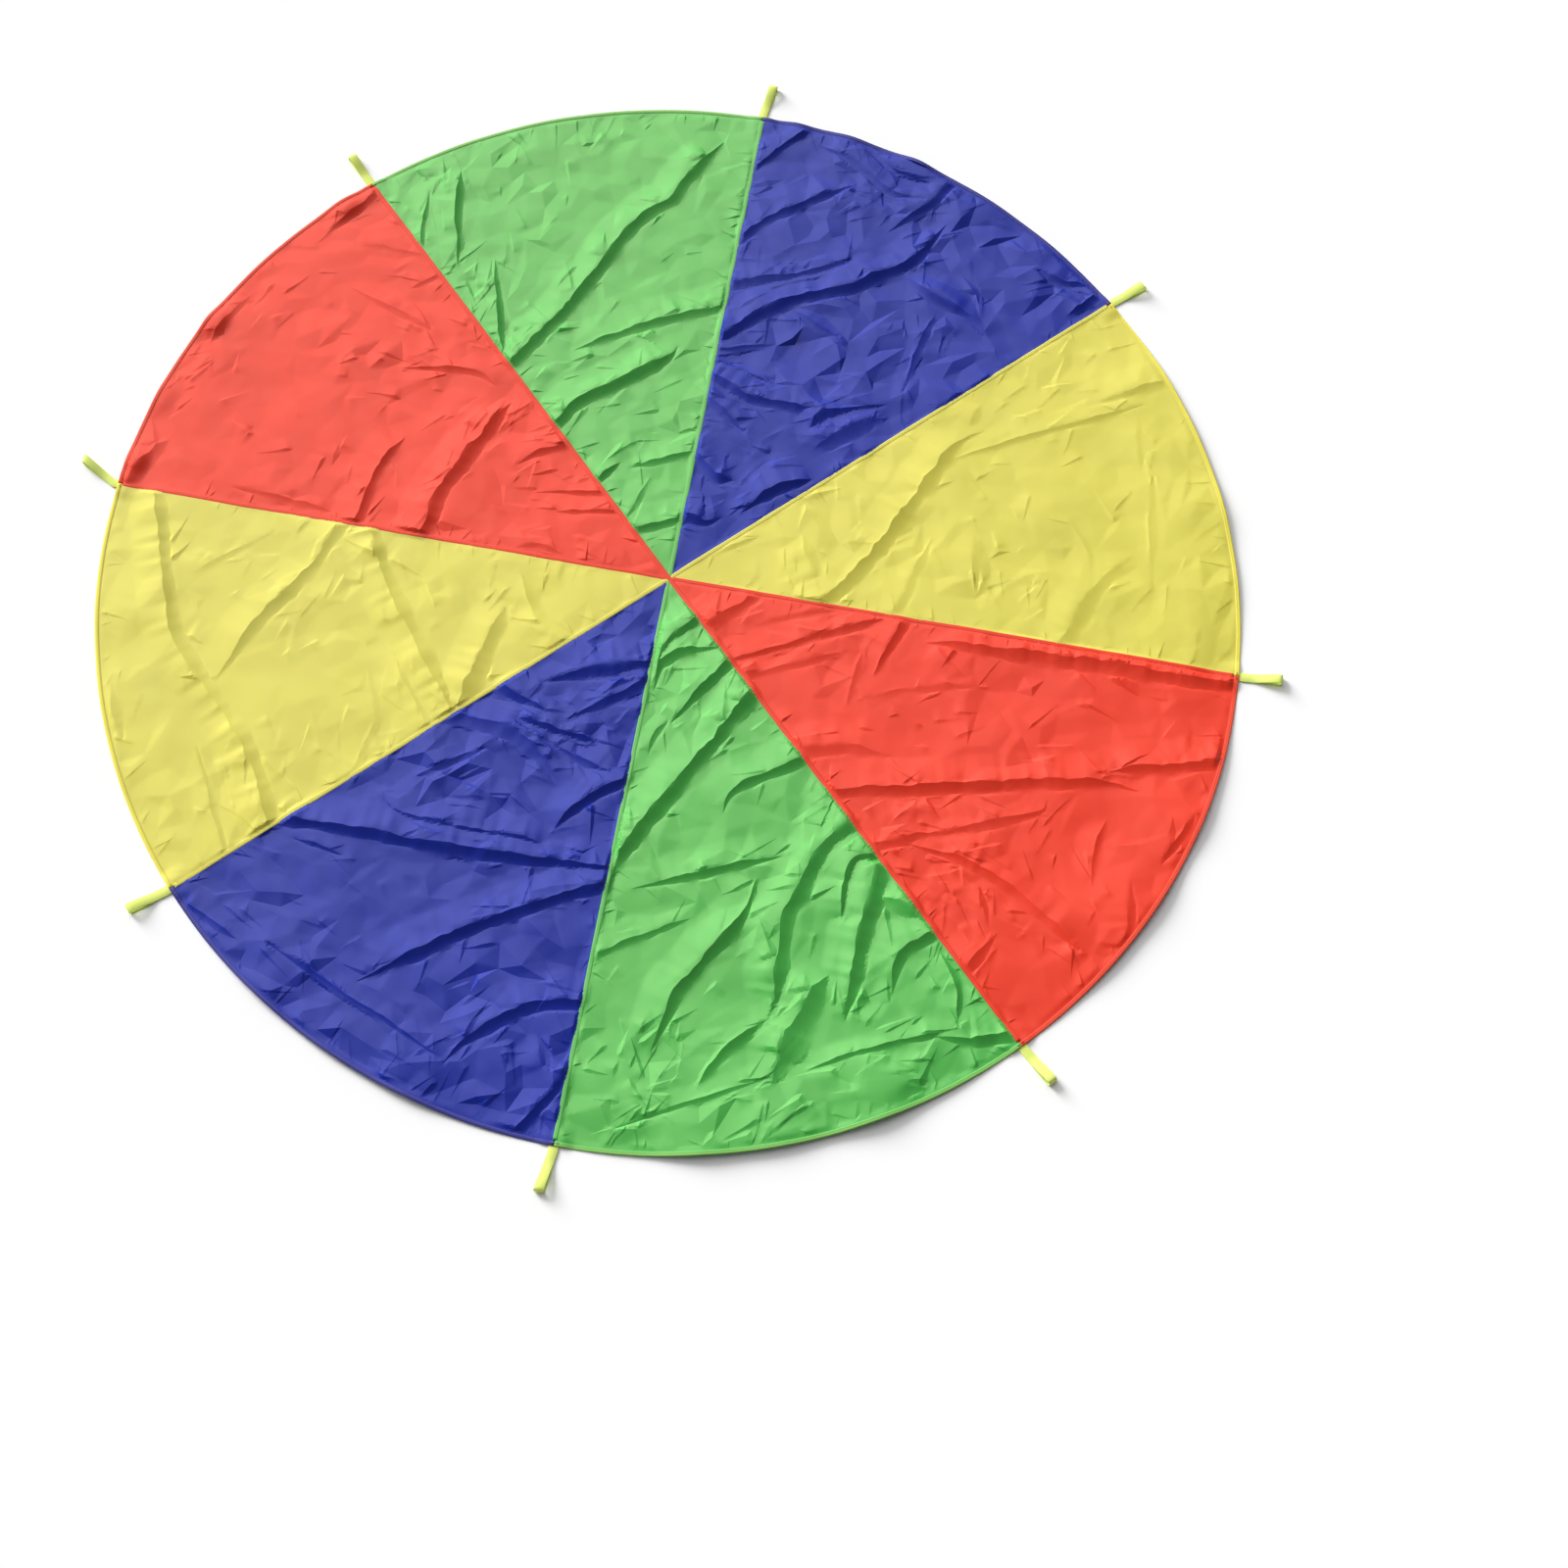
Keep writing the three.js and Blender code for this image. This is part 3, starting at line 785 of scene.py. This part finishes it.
def gore_outline(index):
    first = index * GORE_TURN
    last = first + GORE_TURN
    inner = GORE_EDGE / math.tan(GORE_TURN / 2)
    outer = math.sqrt(GORE_RIM**2 - GORE_EDGE**2)
    count = int((outer - inner) / FINE_STEP)
    sides = np.linspace(inner, outer, count + 1)
    side_a = sides[:, None] * outward_at(first)[:2] + GORE_EDGE * sideways_at(first)[:2]
    side_b = sides[::-1, None] * outward_at(last)[:2] - GORE_EDGE * sideways_at(last)[:2]
    inset = math.asin(GORE_EDGE / GORE_RIM)
    arc_count = int(GORE_RIM * GORE_TURN / FINE_STEP)
    turns = np.linspace(first + inset, last - inset, arc_count + 1)[1:-1]
    return np.concatenate([side_a, GORE_RIM * circle(turns), side_b[:-1]])


# Points of a gore's mesh, and the crease lines that its triangles must follow
def gore_points(index, rows):
    rng = np.random.default_rng(90 + index)
    points = np.concatenate(rows)
    starts = np.cumsum([0] + [len(row) for row in rows])
    links = np.array([(i, i + 1) for a, b in zip(starts[:-1], starts[1:]) for i in range(a, b - 1)])
    inside = np.min(edge_distances(index, points), axis=0) > GORE_EDGE + CREASE_CLEARANCE * FINE_STEP
    links = links[inside[links].all(axis=1)]
    _, kept, merged = np.unique(
        np.round(points / MERGE_CELL).astype(int), axis=0, return_index=True, return_inverse=True,
    )
    used = np.unique(merged.ravel()[links])
    renumber = np.full(len(kept), -1)
    renumber[used] = np.arange(len(used))
    links = renumber[merged.ravel()[links]]
    links = links[links[:, 0] != links[:, 1]]
    points = points[kept[used]]
    tree = kdtree.KDTree(len(points))
    for i, point in enumerate(points):
        tree.insert((point[0], point[1], 0), i)
    tree.balance()
    middle = (index + 0.5) * GORE_TURN
    chosen = [points]
    for step, nearest, furthest in ((FINE_STEP, 0, FINE_BORDER), (OPEN_STEP, FINE_BORDER, 1)):
        grid = regular_points(step, middle, rng)
        border = np.min(edge_distances(index, grid), axis=0) - GORE_EDGE
        grid = grid[(border > max(nearest, BORDER_CLEARANCE * step)) & (border <= furthest)]
        free = [tree.find((p[0], p[1], 0))[2] > POINT_CLEARANCE * step for p in grid]
        chosen.append(grid[np.array(free)])
    return np.concatenate(chosen), links


# One value, or a few, of every item of a mesh
def read_all(items, name, kind, width=1):
    values = np.empty(width * len(items), dtype=kind)
    items.foreach_get(name, values)
    return values


# Smooth mesh object with one material
def make_object(name, points, faces, material, uvs):
    mesh = bpy.data.meshes.new(name)
    mesh.from_pydata([tuple(p) for p in points], [], [tuple(int(i) for i in face) for face in faces])
    mesh.update()
    layer = mesh.uv_layers.new(name="UVMap")
    corners = read_all(mesh.loops, "vertex_index", np.int32)
    layer.data.foreach_set("uv", np.asarray(uvs, dtype=np.float32)[corners].ravel())
    mesh.polygons.foreach_set("use_smooth", np.ones(len(mesh.polygons), dtype=bool))
    mesh.materials.append(material)
    obj = bpy.data.objects.new(name, mesh)
    scene.collection.objects.link(obj)
    return obj


# Edges where two triangles meet at a clear angle are drawn sharp
def sharpen(obj):
    mesh = obj.data
    sizes = read_all(mesh.polygons, "loop_total", np.int32)
    faces = np.repeat(np.arange(len(sizes)), sizes)
    order = np.argsort(read_all(mesh.loops, "edge_index", np.int32), kind="stable")
    pairs = faces[order].reshape(-1, 2)
    normals = read_all(mesh.polygons, "normal", np.float32, 3).reshape(-1, 3)
    cosines = (normals[pairs[:, 0]] * normals[pairs[:, 1]]).sum(axis=1)
    sharp = mesh.attributes.new("sharp_edge", "BOOLEAN", "EDGE")
    sharp.data.foreach_set("value", cosines < math.cos(SHARP_BEND))


# Closed thin sheet from the triangles of its upper surface
def closed_sheet(points, triangles, thickness):
    count = len(points)
    below = points - np.array([0, 0, thickness])
    edges = dict.fromkeys(edge for a, b, c in triangles for edge in ((a, b), (b, c), (c, a)))
    faces = [tuple(t) for t in triangles]
    faces += [(c + count, b + count, a + count) for a, b, c in triangles]
    faces += [(a, a + count, b + count, b) for a, b in edges if (b, a) not in edges]
    return np.concatenate([points, below]), faces


def make_gore(index, material):
    main_folds, small_folds = GORE_FOLDS[index]
    folds = main_folds + small_folds
    net = make_net(index, main_folds)
    rows = net_rows(net) + [row for fold in folds for row in fold_rows(fold)]
    outline = gore_outline(index)
    inner, links = gore_points(index, rows)
    flat = [Vector(p) for p in np.concatenate([outline, inner])]
    border = [(i, (i + 1) % len(outline)) for i in range(len(outline))]
    creases = (links + len(outline)).tolist()
    corners, _, triangles, _, _, _ = delaunay_2d_cdt(flat, border + creases, [], 1, 1e-6)
    plan = np.array([tuple(c) for c in corners])
    triangles = np.array(triangles)
    a, b, c = (plan[triangles[:, i]] for i in range(3))
    area = (b[:, 0] - a[:, 0]) * (c[:, 1] - a[:, 1]) - (b[:, 1] - a[:, 1]) * (c[:, 0] - a[:, 0])
    triangles[area < 0] = triangles[area < 0][:, ::-1]
    top = np.column_stack([plan, cloth_height(index, plan, net)])
    points, faces = closed_sheet(top, triangles.tolist(), CLOTH_THICKNESS)
    middle = (index + 0.5) * GORE_TURN
    grain = np.array([[math.cos(middle), -math.sin(middle)], [math.sin(middle), math.cos(middle)]])
    obj = make_object(f"cloth_{GORES[index]}", points, faces, material, points[:, :2] @ grain)
    sharpen(obj)
    return obj


# Faces of a closed tube of rings, with a cap at each end
def tube_faces(rings, sides):
    faces = []
    for near in range(0, (rings - 1) * sides, sides):
        far = near + sides
        for j in range(sides):
            k = (j + 1) % sides
            faces.append((near + j, near + k, far + k, far + j))
    faces.append(tuple(reversed(range(sides))))
    faces.append(tuple((rings - 1) * sides + j for j in range(sides)))
    return faces


# Closed bar with one section swept along its centres, with sideways and upward directions for each or for all
def sweep(name, centres, sideways, upward, section, material):
    section = np.array(section)
    points = centres[:, None, :] + section[None, :, :1] * sideways[:, None, :]
    points = points + section[None, :, 1:] * upward[:, None, :]
    steps = np.linalg.norm(np.diff(centres, axis=0), axis=1)
    run = np.concatenate([[0], np.cumsum(steps)])
    uvs = np.stack(np.broadcast_arrays(run[:, None], section[None, :, 0]), axis=-1).reshape(-1, 2)
    return make_object(name, points.reshape(-1, 3), tube_faces(len(centres), len(section)), material, uvs)


# Sections of a lapped seam, a little higher at the lap's fold, of the turned hem and of the webbing
SEAM_SECTION = [
    (0.0040, -0.0001), (0.0036, 0.0001), (0.0020, 0.00015), (0.0008, 0.0003), (-0.0008, 0.0003),
    (-0.0020, 0.00015), (-0.0036, 0.0001), (-0.0040, -0.0001), (-0.0036, -0.0004), (0.0036, -0.0004),
]
HEM_SECTION = [
    (0.0000, 0.0002), (0.0066, 0.0000), (0.0074, 0.0003), (0.0076, 0.0007), (0.0071, 0.0011),
    (0.0058, 0.0012), (0.0042, 0.0011), (0.0026, 0.0010), (0.0011, 0.0008), (0.0001, 0.0006),
]
WEB_SECTION = [
    (-0.0080, 0.0003), (-0.0074, 0.0006), (0.0074, 0.0006), (0.0080, 0.0003),
    (0.0080, -0.0003), (0.0074, -0.0006), (-0.0074, -0.0006), (-0.0080, -0.0003),
]
UPWARD = np.array([[0.0, 0.0, 1.0]])


def seam_line(angle, start, end):
    count = int(abs(end - start) / FINE_STEP)
    places = np.linspace(start, end, count + 1)
    return places[:, None] * outward_at(angle)[:2]


def make_seam(name, line, heights, angle, material):
    centres = np.column_stack([line, heights])
    return sweep(name, centres, -sideways_at(angle)[None], UPWARD, SEAM_SECTION, material)


# Angles of a gore's rim stations, and the height of the cloth's edge there
def rim_stations(index):
    count = int(HEM_OUTER * GORE_TURN / FINE_STEP)
    turns = np.linspace(index * GORE_TURN + HEM_GAP, (index + 1) * GORE_TURN - HEM_GAP, count + 1)
    return turns, ground_height(GORE_RIM * circle(turns))


def make_hem(index, material):
    turns, heights = rim_stations(index)
    outward = np.column_stack([circle(turns), 0 * turns])
    centres = HEM_INNER * outward
    centres[:, 2] = heights - CLOTH_THICKNESS
    return sweep(f"rim_hem_{GORES[index]}", centres, outward, UPWARD, HEM_SECTION, material)


# Stitches: short bulging threads whose ends sink into the cloth
STITCH_SHAPE = [(-0.5, 0.3, -0.00015), (-0.3, 1.0, 0.00008), (0.3, 1.0, 0.00008), (0.5, 0.3, -0.00015)]
STITCH_SIDES = 5
STITCH_LENGTH = 0.0030
STITCH_PITCH = 0.0042
STITCH_RADIUS = 0.00032
STITCH_STAGGER = 0.0007
SEAM_ROW = 0.0018
SEAM_STITCH_LIFT = 0.0002
SEAM_STITCH_ENDS = (0.006, 0.004)
HEM_STITCH_LIFT = 0.0006
HEM_STITCH_ENDS = (0.004, 0.003)


def make_stitches(name, places, headings, material, length=STITCH_LENGTH):
    angles = np.arange(STITCH_SIDES) * 2 * math.pi / STITCH_SIDES
    template = []
    for share, swell, lift in STITCH_SHAPE:
        for angle in angles:
            across = STITCH_RADIUS * swell * math.cos(angle)
            up = STITCH_RADIUS * swell * math.sin(angle) + lift
            template.append((share * length, across, up))
    template = np.array(template)
    template_faces = tube_faces(len(STITCH_SHAPE), STITCH_SIDES)
    sideways = np.stack([-headings[:, 1], headings[:, 0], 0 * headings[:, 0]], axis=1)
    points = places[:, None, :] + template[None, :, :1] * headings[:, None, :]
    points = points + template[None, :, 1:2] * sideways[:, None, :]
    points[:, :, 2] += template[None, :, 2]
    size = len(template)
    faces = [tuple(n * size + i for i in face) for n in range(len(places)) for face in template_faces]
    uvs = np.tile(template[:, :2], (len(places), 1))
    return make_object(name, points.reshape(-1, 3), faces, material, uvs)


def seam_stitches(name, line, heights, angle, material):
    heading = outward_at(angle)
    run = line @ heading[:2]
    start_gap, end_gap = SEAM_STITCH_ENDS
    evenly = np.arange(run.min() + start_gap, run.max() - end_gap, STITCH_PITCH)
    places = []
    for row in (-1, 1):
        along = evenly + STITCH_STAGGER * row
        spots = along[:, None] * heading + row * SEAM_ROW * sideways_at(angle)
        spots[:, 2] = np.interp(along, run, heights) + SEAM_STITCH_LIFT
        places.append(spots)
    return make_stitches(name, np.concatenate(places), heading[None], material)


def hem_stitches(index, material):
    start_gap, end_gap = HEM_STITCH_ENDS
    turns = np.arange(index * GORE_TURN + start_gap, (index + 1) * GORE_TURN - end_gap, STITCH_PITCH)
    heights = np.interp(turns, *rim_stations(index)) + HEM_STITCH_LIFT
    places = np.column_stack([HEM_SEWN * circle(turns), heights])
    headings = np.column_stack([-np.sin(turns), np.cos(turns), 0 * turns])
    return make_stitches(f"hem_stitches_{GORES[index]}", places, headings, material)


# Strap: distances of its sewn part from its hinge, and the stations of each leg and of the bend
SEWN_PLACES = [-0.0175, -0.008, -0.004]
LEG_STATIONS = 24
BEND_STATIONS = 13


# Handle strap: one strip of webbing from under the hem out round the loop and back under the hem
def strap_path():
    half = WEB_THICKNESS / 2
    bend = LOOP_LENGTH - LOOP_HEIGHT / 2
    arc = LOOP_HEIGHT / 2 - half
    leg = [*SEWN_PLACES, *np.linspace(0, bend, LEG_STATIONS)]
    path = [(HINGE_RADIUS + along, half) for along in leg]
    for turn in np.linspace(-math.pi / 2, math.pi / 2, BEND_STATIONS)[1:-1]:
        path.append((HINGE_RADIUS + bend + arc * math.cos(turn), LOOP_HEIGHT / 2 + arc * math.sin(turn)))
    low = 1.5 * WEB_THICKNESS
    for along in reversed(leg):
        rise = float(smoothstep(along, THROAT_LENGTH, bend))
        path.append((HINGE_RADIUS + along, low + (LOOP_HEIGHT - half - low) * rise))
    return np.array(path)


def make_strap(number, material):
    angle = (number - 1) * GORE_TURN
    outward = outward_at(angle)
    side = sideways_at(angle)
    path = strap_path()
    lean = TIP_SHIFTS[number - 1] / LOOP_LENGTH
    shift = lean * np.maximum(path[:, 0] - HINGE_RADIUS, 0)
    centres = path[:, :1] * outward + shift[:, None] * side
    centres[:, 2] = path[:, 1]
    forward = unit(np.gradient(path, axis=0))
    upward = -forward[:, 1:] * outward
    upward[:, 2] = forward[:, 0]
    return sweep(f"strap_{number}", centres, side[None], upward, WEB_SECTION, material)


# Bar tack: a tight zigzag of thread over the hem where it crosses a strap
TACK_STITCHES = 14
TACK_WIDTH = 0.0046
TACK_TILT = 0.22
TACK_STITCH = 0.0026


def make_tack(number, name):
    low, high = (np.array(corner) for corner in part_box(f"handle_tack_{number}_{name}"))
    centre = (low + high) / 2
    index = int(np.mod(math.atan2(centre[1], centre[0]), 2 * math.pi) / GORE_TURN)
    material = stitch_materials[color_of(index)]
    angle = (number - 1) * GORE_TURN
    side = sideways_at(angle)
    places = []
    headings = []
    for i in range(TACK_STITCHES):
        along = (i / (TACK_STITCHES - 1) - 0.5) * TACK_WIDTH
        tilt = TACK_TILT if i % 2 else -TACK_TILT
        places.append(centre + side * along)
        headings.append(unit(outward_at(angle) + tilt * side))
    return make_stitches(f"tack_{number}_{name}", np.array(places), np.array(headings), material, TACK_STITCH)


# New node with its settings, and with sockets linked to outputs or set to values
def node(tree, kind, sockets, **settings):
    made = tree.nodes.new("ShaderNode" + kind)
    for key, value in settings.items():
        setattr(made, key, value)
    for socket, value in sockets.items():
        if isinstance(value, bpy.types.NodeSocket):
            tree.links.new(value, made.inputs[socket])
        else:
            made.inputs[socket].default_value = value
    return made


def start_material(name):
    material = bpy.data.materials.new(name)
    material.use_nodes = True
    tree = material.node_tree
    tree.nodes.clear()
    return material, tree, node(tree, "TexCoord", {}).outputs["UV"]


# Shader with values and linked sockets, as the surface of its material
def finish_material(tree, sockets, kind="BsdfPrincipled"):
    shader = node(tree, kind, sockets)
    node(tree, "OutputMaterial", {"Surface": shader.outputs["BSDF"]})


def noise(tree, place, scale, detail=2.0):
    sockets = {"Vector": place, "Scale": scale, "Detail": detail}
    return node(tree, "TexNoise", sockets).outputs["Fac"]


def spread(tree, value, low, high, source_low=0.3, source_high=0.7):
    bounds = {"From Min": source_low, "From Max": source_high, "To Min": low, "To Max": high}
    return node(tree, "MapRange", {"Value": value, **bounds}).outputs["Result"]


# The colour sockets of a Mix node come after its number and vector sockets
def mixed_color(tree, factor, first, second):
    return node(tree, "Mix", {"Factor": factor, 6: first, 7: second}, data_type="RGBA").outputs[2]


def bands(tree, place, direction, period):
    sockets = {"Vector": place, "Scale": 2 * math.pi / (20 * period), "Distortion": 0}
    made = node(tree, "TexWave", sockets, wave_type="BANDS", bands_direction=direction)
    return made.outputs["Fac"]


def combined(tree, operation, first, second):
    return node(tree, "Math", {0: first, 1: second}, operation=operation).outputs["Value"]


def bump(tree, height, strength, distance):
    sockets = {"Height": height, "Strength": strength, "Distance": distance}
    return node(tree, "Bump", sockets).outputs["Normal"]


def shade(color, factor):
    return (*(min(1.0, channel * factor) for channel in color), 1)


# Spacing of the threads of taffeta, of the ribs and cords of webbing, and of the twist of sewing thread
THREAD_PERIOD = 0.0006
RIB_PERIOD = 0.0013
CORD_PERIOD = 0.0020
TWIST_PERIOD = 0.0004


# Woven taffeta: crossed threads, soft gloss, slightly uneven dye, and another colour over most of a hem
def taffeta(name, color, gloss_level, ior, tint, roughness, edge_color=None):
    material, tree, place = start_material(name)
    patches = spread(tree, noise(tree, place, 7.0, 3.0), 0, 1)
    base = mixed_color(tree, patches, shade(color, 0.96), shade(color, 1.04))
    if edge_color is not None:
        across = node(tree, "SeparateXYZ", {"Vector": place}).outputs["Y"]
        base = mixed_color(tree, spread(tree, across, 0, 1, 0.001, 0.004), base, shade(edge_color, 1))
    weave = [bands(tree, place, direction, THREAD_PERIOD) for direction in ("X", "Y")]
    finish_material(tree, {
        "Base Color": base,
        "Roughness": spread(tree, noise(tree, place, 30.0), roughness - 0.04, roughness + 0.04),
        "Normal": bump(tree, combined(tree, "ADD", *weave), 0.10, 0.00004),
        "Specular IOR Level": gloss_level,
        "IOR": ior,
        "Specular Tint": (*tint, 1),
    })
    return material


def webbing(name, color):
    material, tree, place = start_material(name)
    ribs = spread(tree, bands(tree, place, "X", RIB_PERIOD), 0, 0.5, 0, 1)
    cords = spread(tree, bands(tree, place, "Y", CORD_PERIOD), 0, 0.5, 0, 1)
    tone = combined(tree, "ADD", ribs, cords)
    finish_material(tree, {
        "Base Color": mixed_color(tree, tone, shade(color, 0.78), shade(color, 1.08)),
        "Roughness": spread(tree, noise(tree, place, 400.0), 0.58, 0.74),
        "Normal": bump(tree, tone, 0.6, 0.0002),
        "Specular IOR Level": 0.3,
    })
    return material


def thread(name, color):
    material, tree, place = start_material(name)
    twist = bands(tree, place, "DIAGONAL", TWIST_PERIOD)
    finish_material(tree, {
        "Base Color": mixed_color(tree, twist, shade(color, 0.8), shade(color, 1.1)),
        "Roughness": spread(tree, twist, 0.55, 0.70, 0, 1),
    })
    return material


# Linear colours
CLOTH_COLORS = {
    "red": (0.850, 0.034, 0.010),
    "yellow": (0.710, 0.645, 0.074),
    "blue": (0.002, 0.017, 0.312),
    "green": (0.050, 0.465, 0.062),
}
CLOTH_GLOSS = {"red": 0.84, "yellow": 0.95, "blue": 0.66, "green": 1.00}
CLOTH_IOR = {"red": 1.5, "yellow": 1.5, "blue": 1.5, "green": 1.7}
CLOTH_TINT = {"red": (1.0, 0.97, 0.84), "yellow": (1, 1, 1), "blue": (1, 1, 1), "green": (1.0, 0.94, 0.70)}
CLOTH_ROUGHNESS = {"red": 0.38, "yellow": 0.38, "blue": 0.36, "green": 0.36}
EDGE_COLORS = {
    "red": (0.80, 0.050, 0.012),
    "yellow": (0.86, 0.74, 0.035),
    "blue": (0.010, 0.018, 0.22),
    "green": (0.150, 0.50, 0.060),
}
STITCH_COLORS = {
    "red": (0.70, 0.06, 0.03),
    "yellow": (0.66, 0.58, 0.08),
    "blue": (0.34, 0.16, 0.34),
    "green": (0.26, 0.48, 0.18),
}
WEB_COLOR = (0.82, 0.96, 0.22)

cloth_materials = {}
hem_materials = {}
seam_materials = {}
for color, value in CLOTH_COLORS.items():
    surface = (value, CLOTH_GLOSS[color], CLOTH_IOR[color], CLOTH_TINT[color], CLOTH_ROUGHNESS[color])
    cloth_materials[color] = taffeta(f"taffeta_{color}", *surface)
    hem_materials[color] = taffeta(f"hem_{color}", *surface, edge_color=EDGE_COLORS[color])
    seam_materials[color] = taffeta(f"seam_{color}", *surface)
stitch_materials = {color: thread(f"thread_{color}", value) for color, value in STITCH_COLORS.items()}
web_material = webbing("webbing_neon", WEB_COLOR)


def bend_at_fold(obj):
    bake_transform(obj)


# Canopy
for index, gore in enumerate(GORES):
    color = color_of(index)
    cloth = make_gore(index, cloth_materials[color])
    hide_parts(f"gore_{gore}")
    hem = make_hem(index, hem_materials[color])
    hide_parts(f"hem_{gore}")
    sewing = hem_stitches(index, stitch_materials[color])
    for piece in (cloth, hem, sewing):
        bend_at_fold(piece)

# The cross seam, which runs through the centre and lies a little higher, and the seams that end under it
SEAM_START = 0.003
SEAM_END = 0.9905
CROSS_LIFT = 0.0003
for number, lap in enumerate(SEAM_LAPS, start=1):
    if number == 5:
        continue
    angle = (number - 1) * GORE_TURN
    crossing = number == 1
    name = "cross_seam_strip" if crossing else f"seam_strip_{number}"
    line = seam_line(angle, -SEAM_END if crossing else SEAM_START, SEAM_END)
    heights = ground_height(line)
    if crossing:
        heights = heights + CROSS_LIFT
    strip = make_seam(name, line, heights, angle, seam_materials[lap])
    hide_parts("cross_seam" if crossing else f"seam_{number}")
    sewing = seam_stitches(f"{name}_stitches", line, heights, angle, stitch_materials[lap])
    bend_at_fold(strip)
    bend_at_fold(sewing)

# Handles
for number in range(1, 9):
    angle = (number - 1) * GORE_TURN
    strap = make_strap(number, web_material)
    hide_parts(f"handle_tail_{number}", f"handle_loop_{number}")
    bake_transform(strap)
    for side in ("left", "right"):
        tack = make_tack(number, side)
        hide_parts(f"handle_tack_{number}_{side}")
        bend_at_fold(tack)

# White floor
FLOOR_HALF = 14.0
FLOOR_COLOR = (0.96, 0.96, 0.96, 1)
floor_mesh = bpy.data.meshes.new("floor")
floor_corners = [(a * FLOOR_HALF, b * FLOOR_HALF, 0) for a, b in ((-1, -1), (1, -1), (1, 1), (-1, 1))]
floor_mesh.from_pydata(floor_corners, [], [(0, 1, 2, 3)])
floor = bpy.data.objects.new("floor", floor_mesh)
scene.collection.objects.link(floor)
floor_material, floor_tree, _ = start_material("floor_white")
finish_material(floor_tree, {"Color": FLOOR_COLOR}, "BsdfDiffuse")
floor_mesh.materials.append(floor_material)

# Light: a low key from the upper left of the picture
sun_data = bpy.data.lights.new("key", "SUN")
sun_data.energy = 4.65
sun_data.angle = math.radians(24)
sun = bpy.data.objects.new("key", sun_data)
towards_sun = towards(SUN_AZIMUTH, SUN_ELEVATION)
sun.rotation_mode = "QUATERNION"
sun.rotation_quaternion = towards_sun.to_track_quat("Z", "Y")
sun.location = towards_sun * 5
sun.visible_glossy = False
scene.collection.objects.link(sun)

# A dim room with a wide softbox high on the same side, and white walls at the horizon
ROOM_LIGHT = 0.08
BOX_LIGHT = 1.90
BOX_AZIMUTH = math.radians(175)
BOX_ELEVATION = math.radians(41)
BOX_EDGE = (0.61, 0.98)
WALL_EDGE = (0.08, 0.20)
world = bpy.data.worlds.new("studio")
scene.world = world
world.use_nodes = True
world_tree = world.node_tree
world_tree.nodes.clear()
heading = node(world_tree, "TexCoord", {}).outputs["Generated"]
box_sockets = {0: heading, 1: towards(BOX_AZIMUTH, BOX_ELEVATION)}
towards_box = node(world_tree, "VectorMath", box_sockets, operation="DOT_PRODUCT").outputs["Value"]
box_light = spread(world_tree, towards_box, ROOM_LIGHT, ROOM_LIGHT + BOX_LIGHT, *BOX_EDGE)
rise = node(world_tree, "SeparateXYZ", {"Vector": heading}).outputs["Z"]
wall_light = spread(world_tree, rise, 1, 0, *WALL_EDGE)
brightest = combined(world_tree, "MAXIMUM", box_light, wall_light)
room = node(world_tree, "Background", {"Color": (1, 1, 1, 1), "Strength": brightest})
node(world_tree, "OutputWorld", {"Surface": room.outputs["Background"]})

# Camera at the photo's angle
CAMERA_AZIMUTH = math.radians(-35.927)
CAMERA_ELEVATION = math.radians(65.346)
CAMERA_DISTANCE = 3.9753
CAMERA_ROLL = math.radians(1.528)
camera_data = bpy.data.cameras.new("camera")
camera_data.sensor_width = 36
camera_data.lens = 51.97
camera_data.shift_x = 0.0732
camera_data.shift_y = -0.1307
camera = bpy.data.objects.new("camera", camera_data)
towards_camera = towards(CAMERA_AZIMUTH, CAMERA_ELEVATION)
camera.location = towards_camera * CAMERA_DISTANCE
camera.rotation_mode = "QUATERNION"
camera.rotation_quaternion = (-towards_camera).to_track_quat("-Z", "Y") @ Quaternion((0, 0, 1), CAMERA_ROLL)
scene.collection.objects.link(camera)
scene.camera = camera
scene.view_settings.view_transform = "Standard"
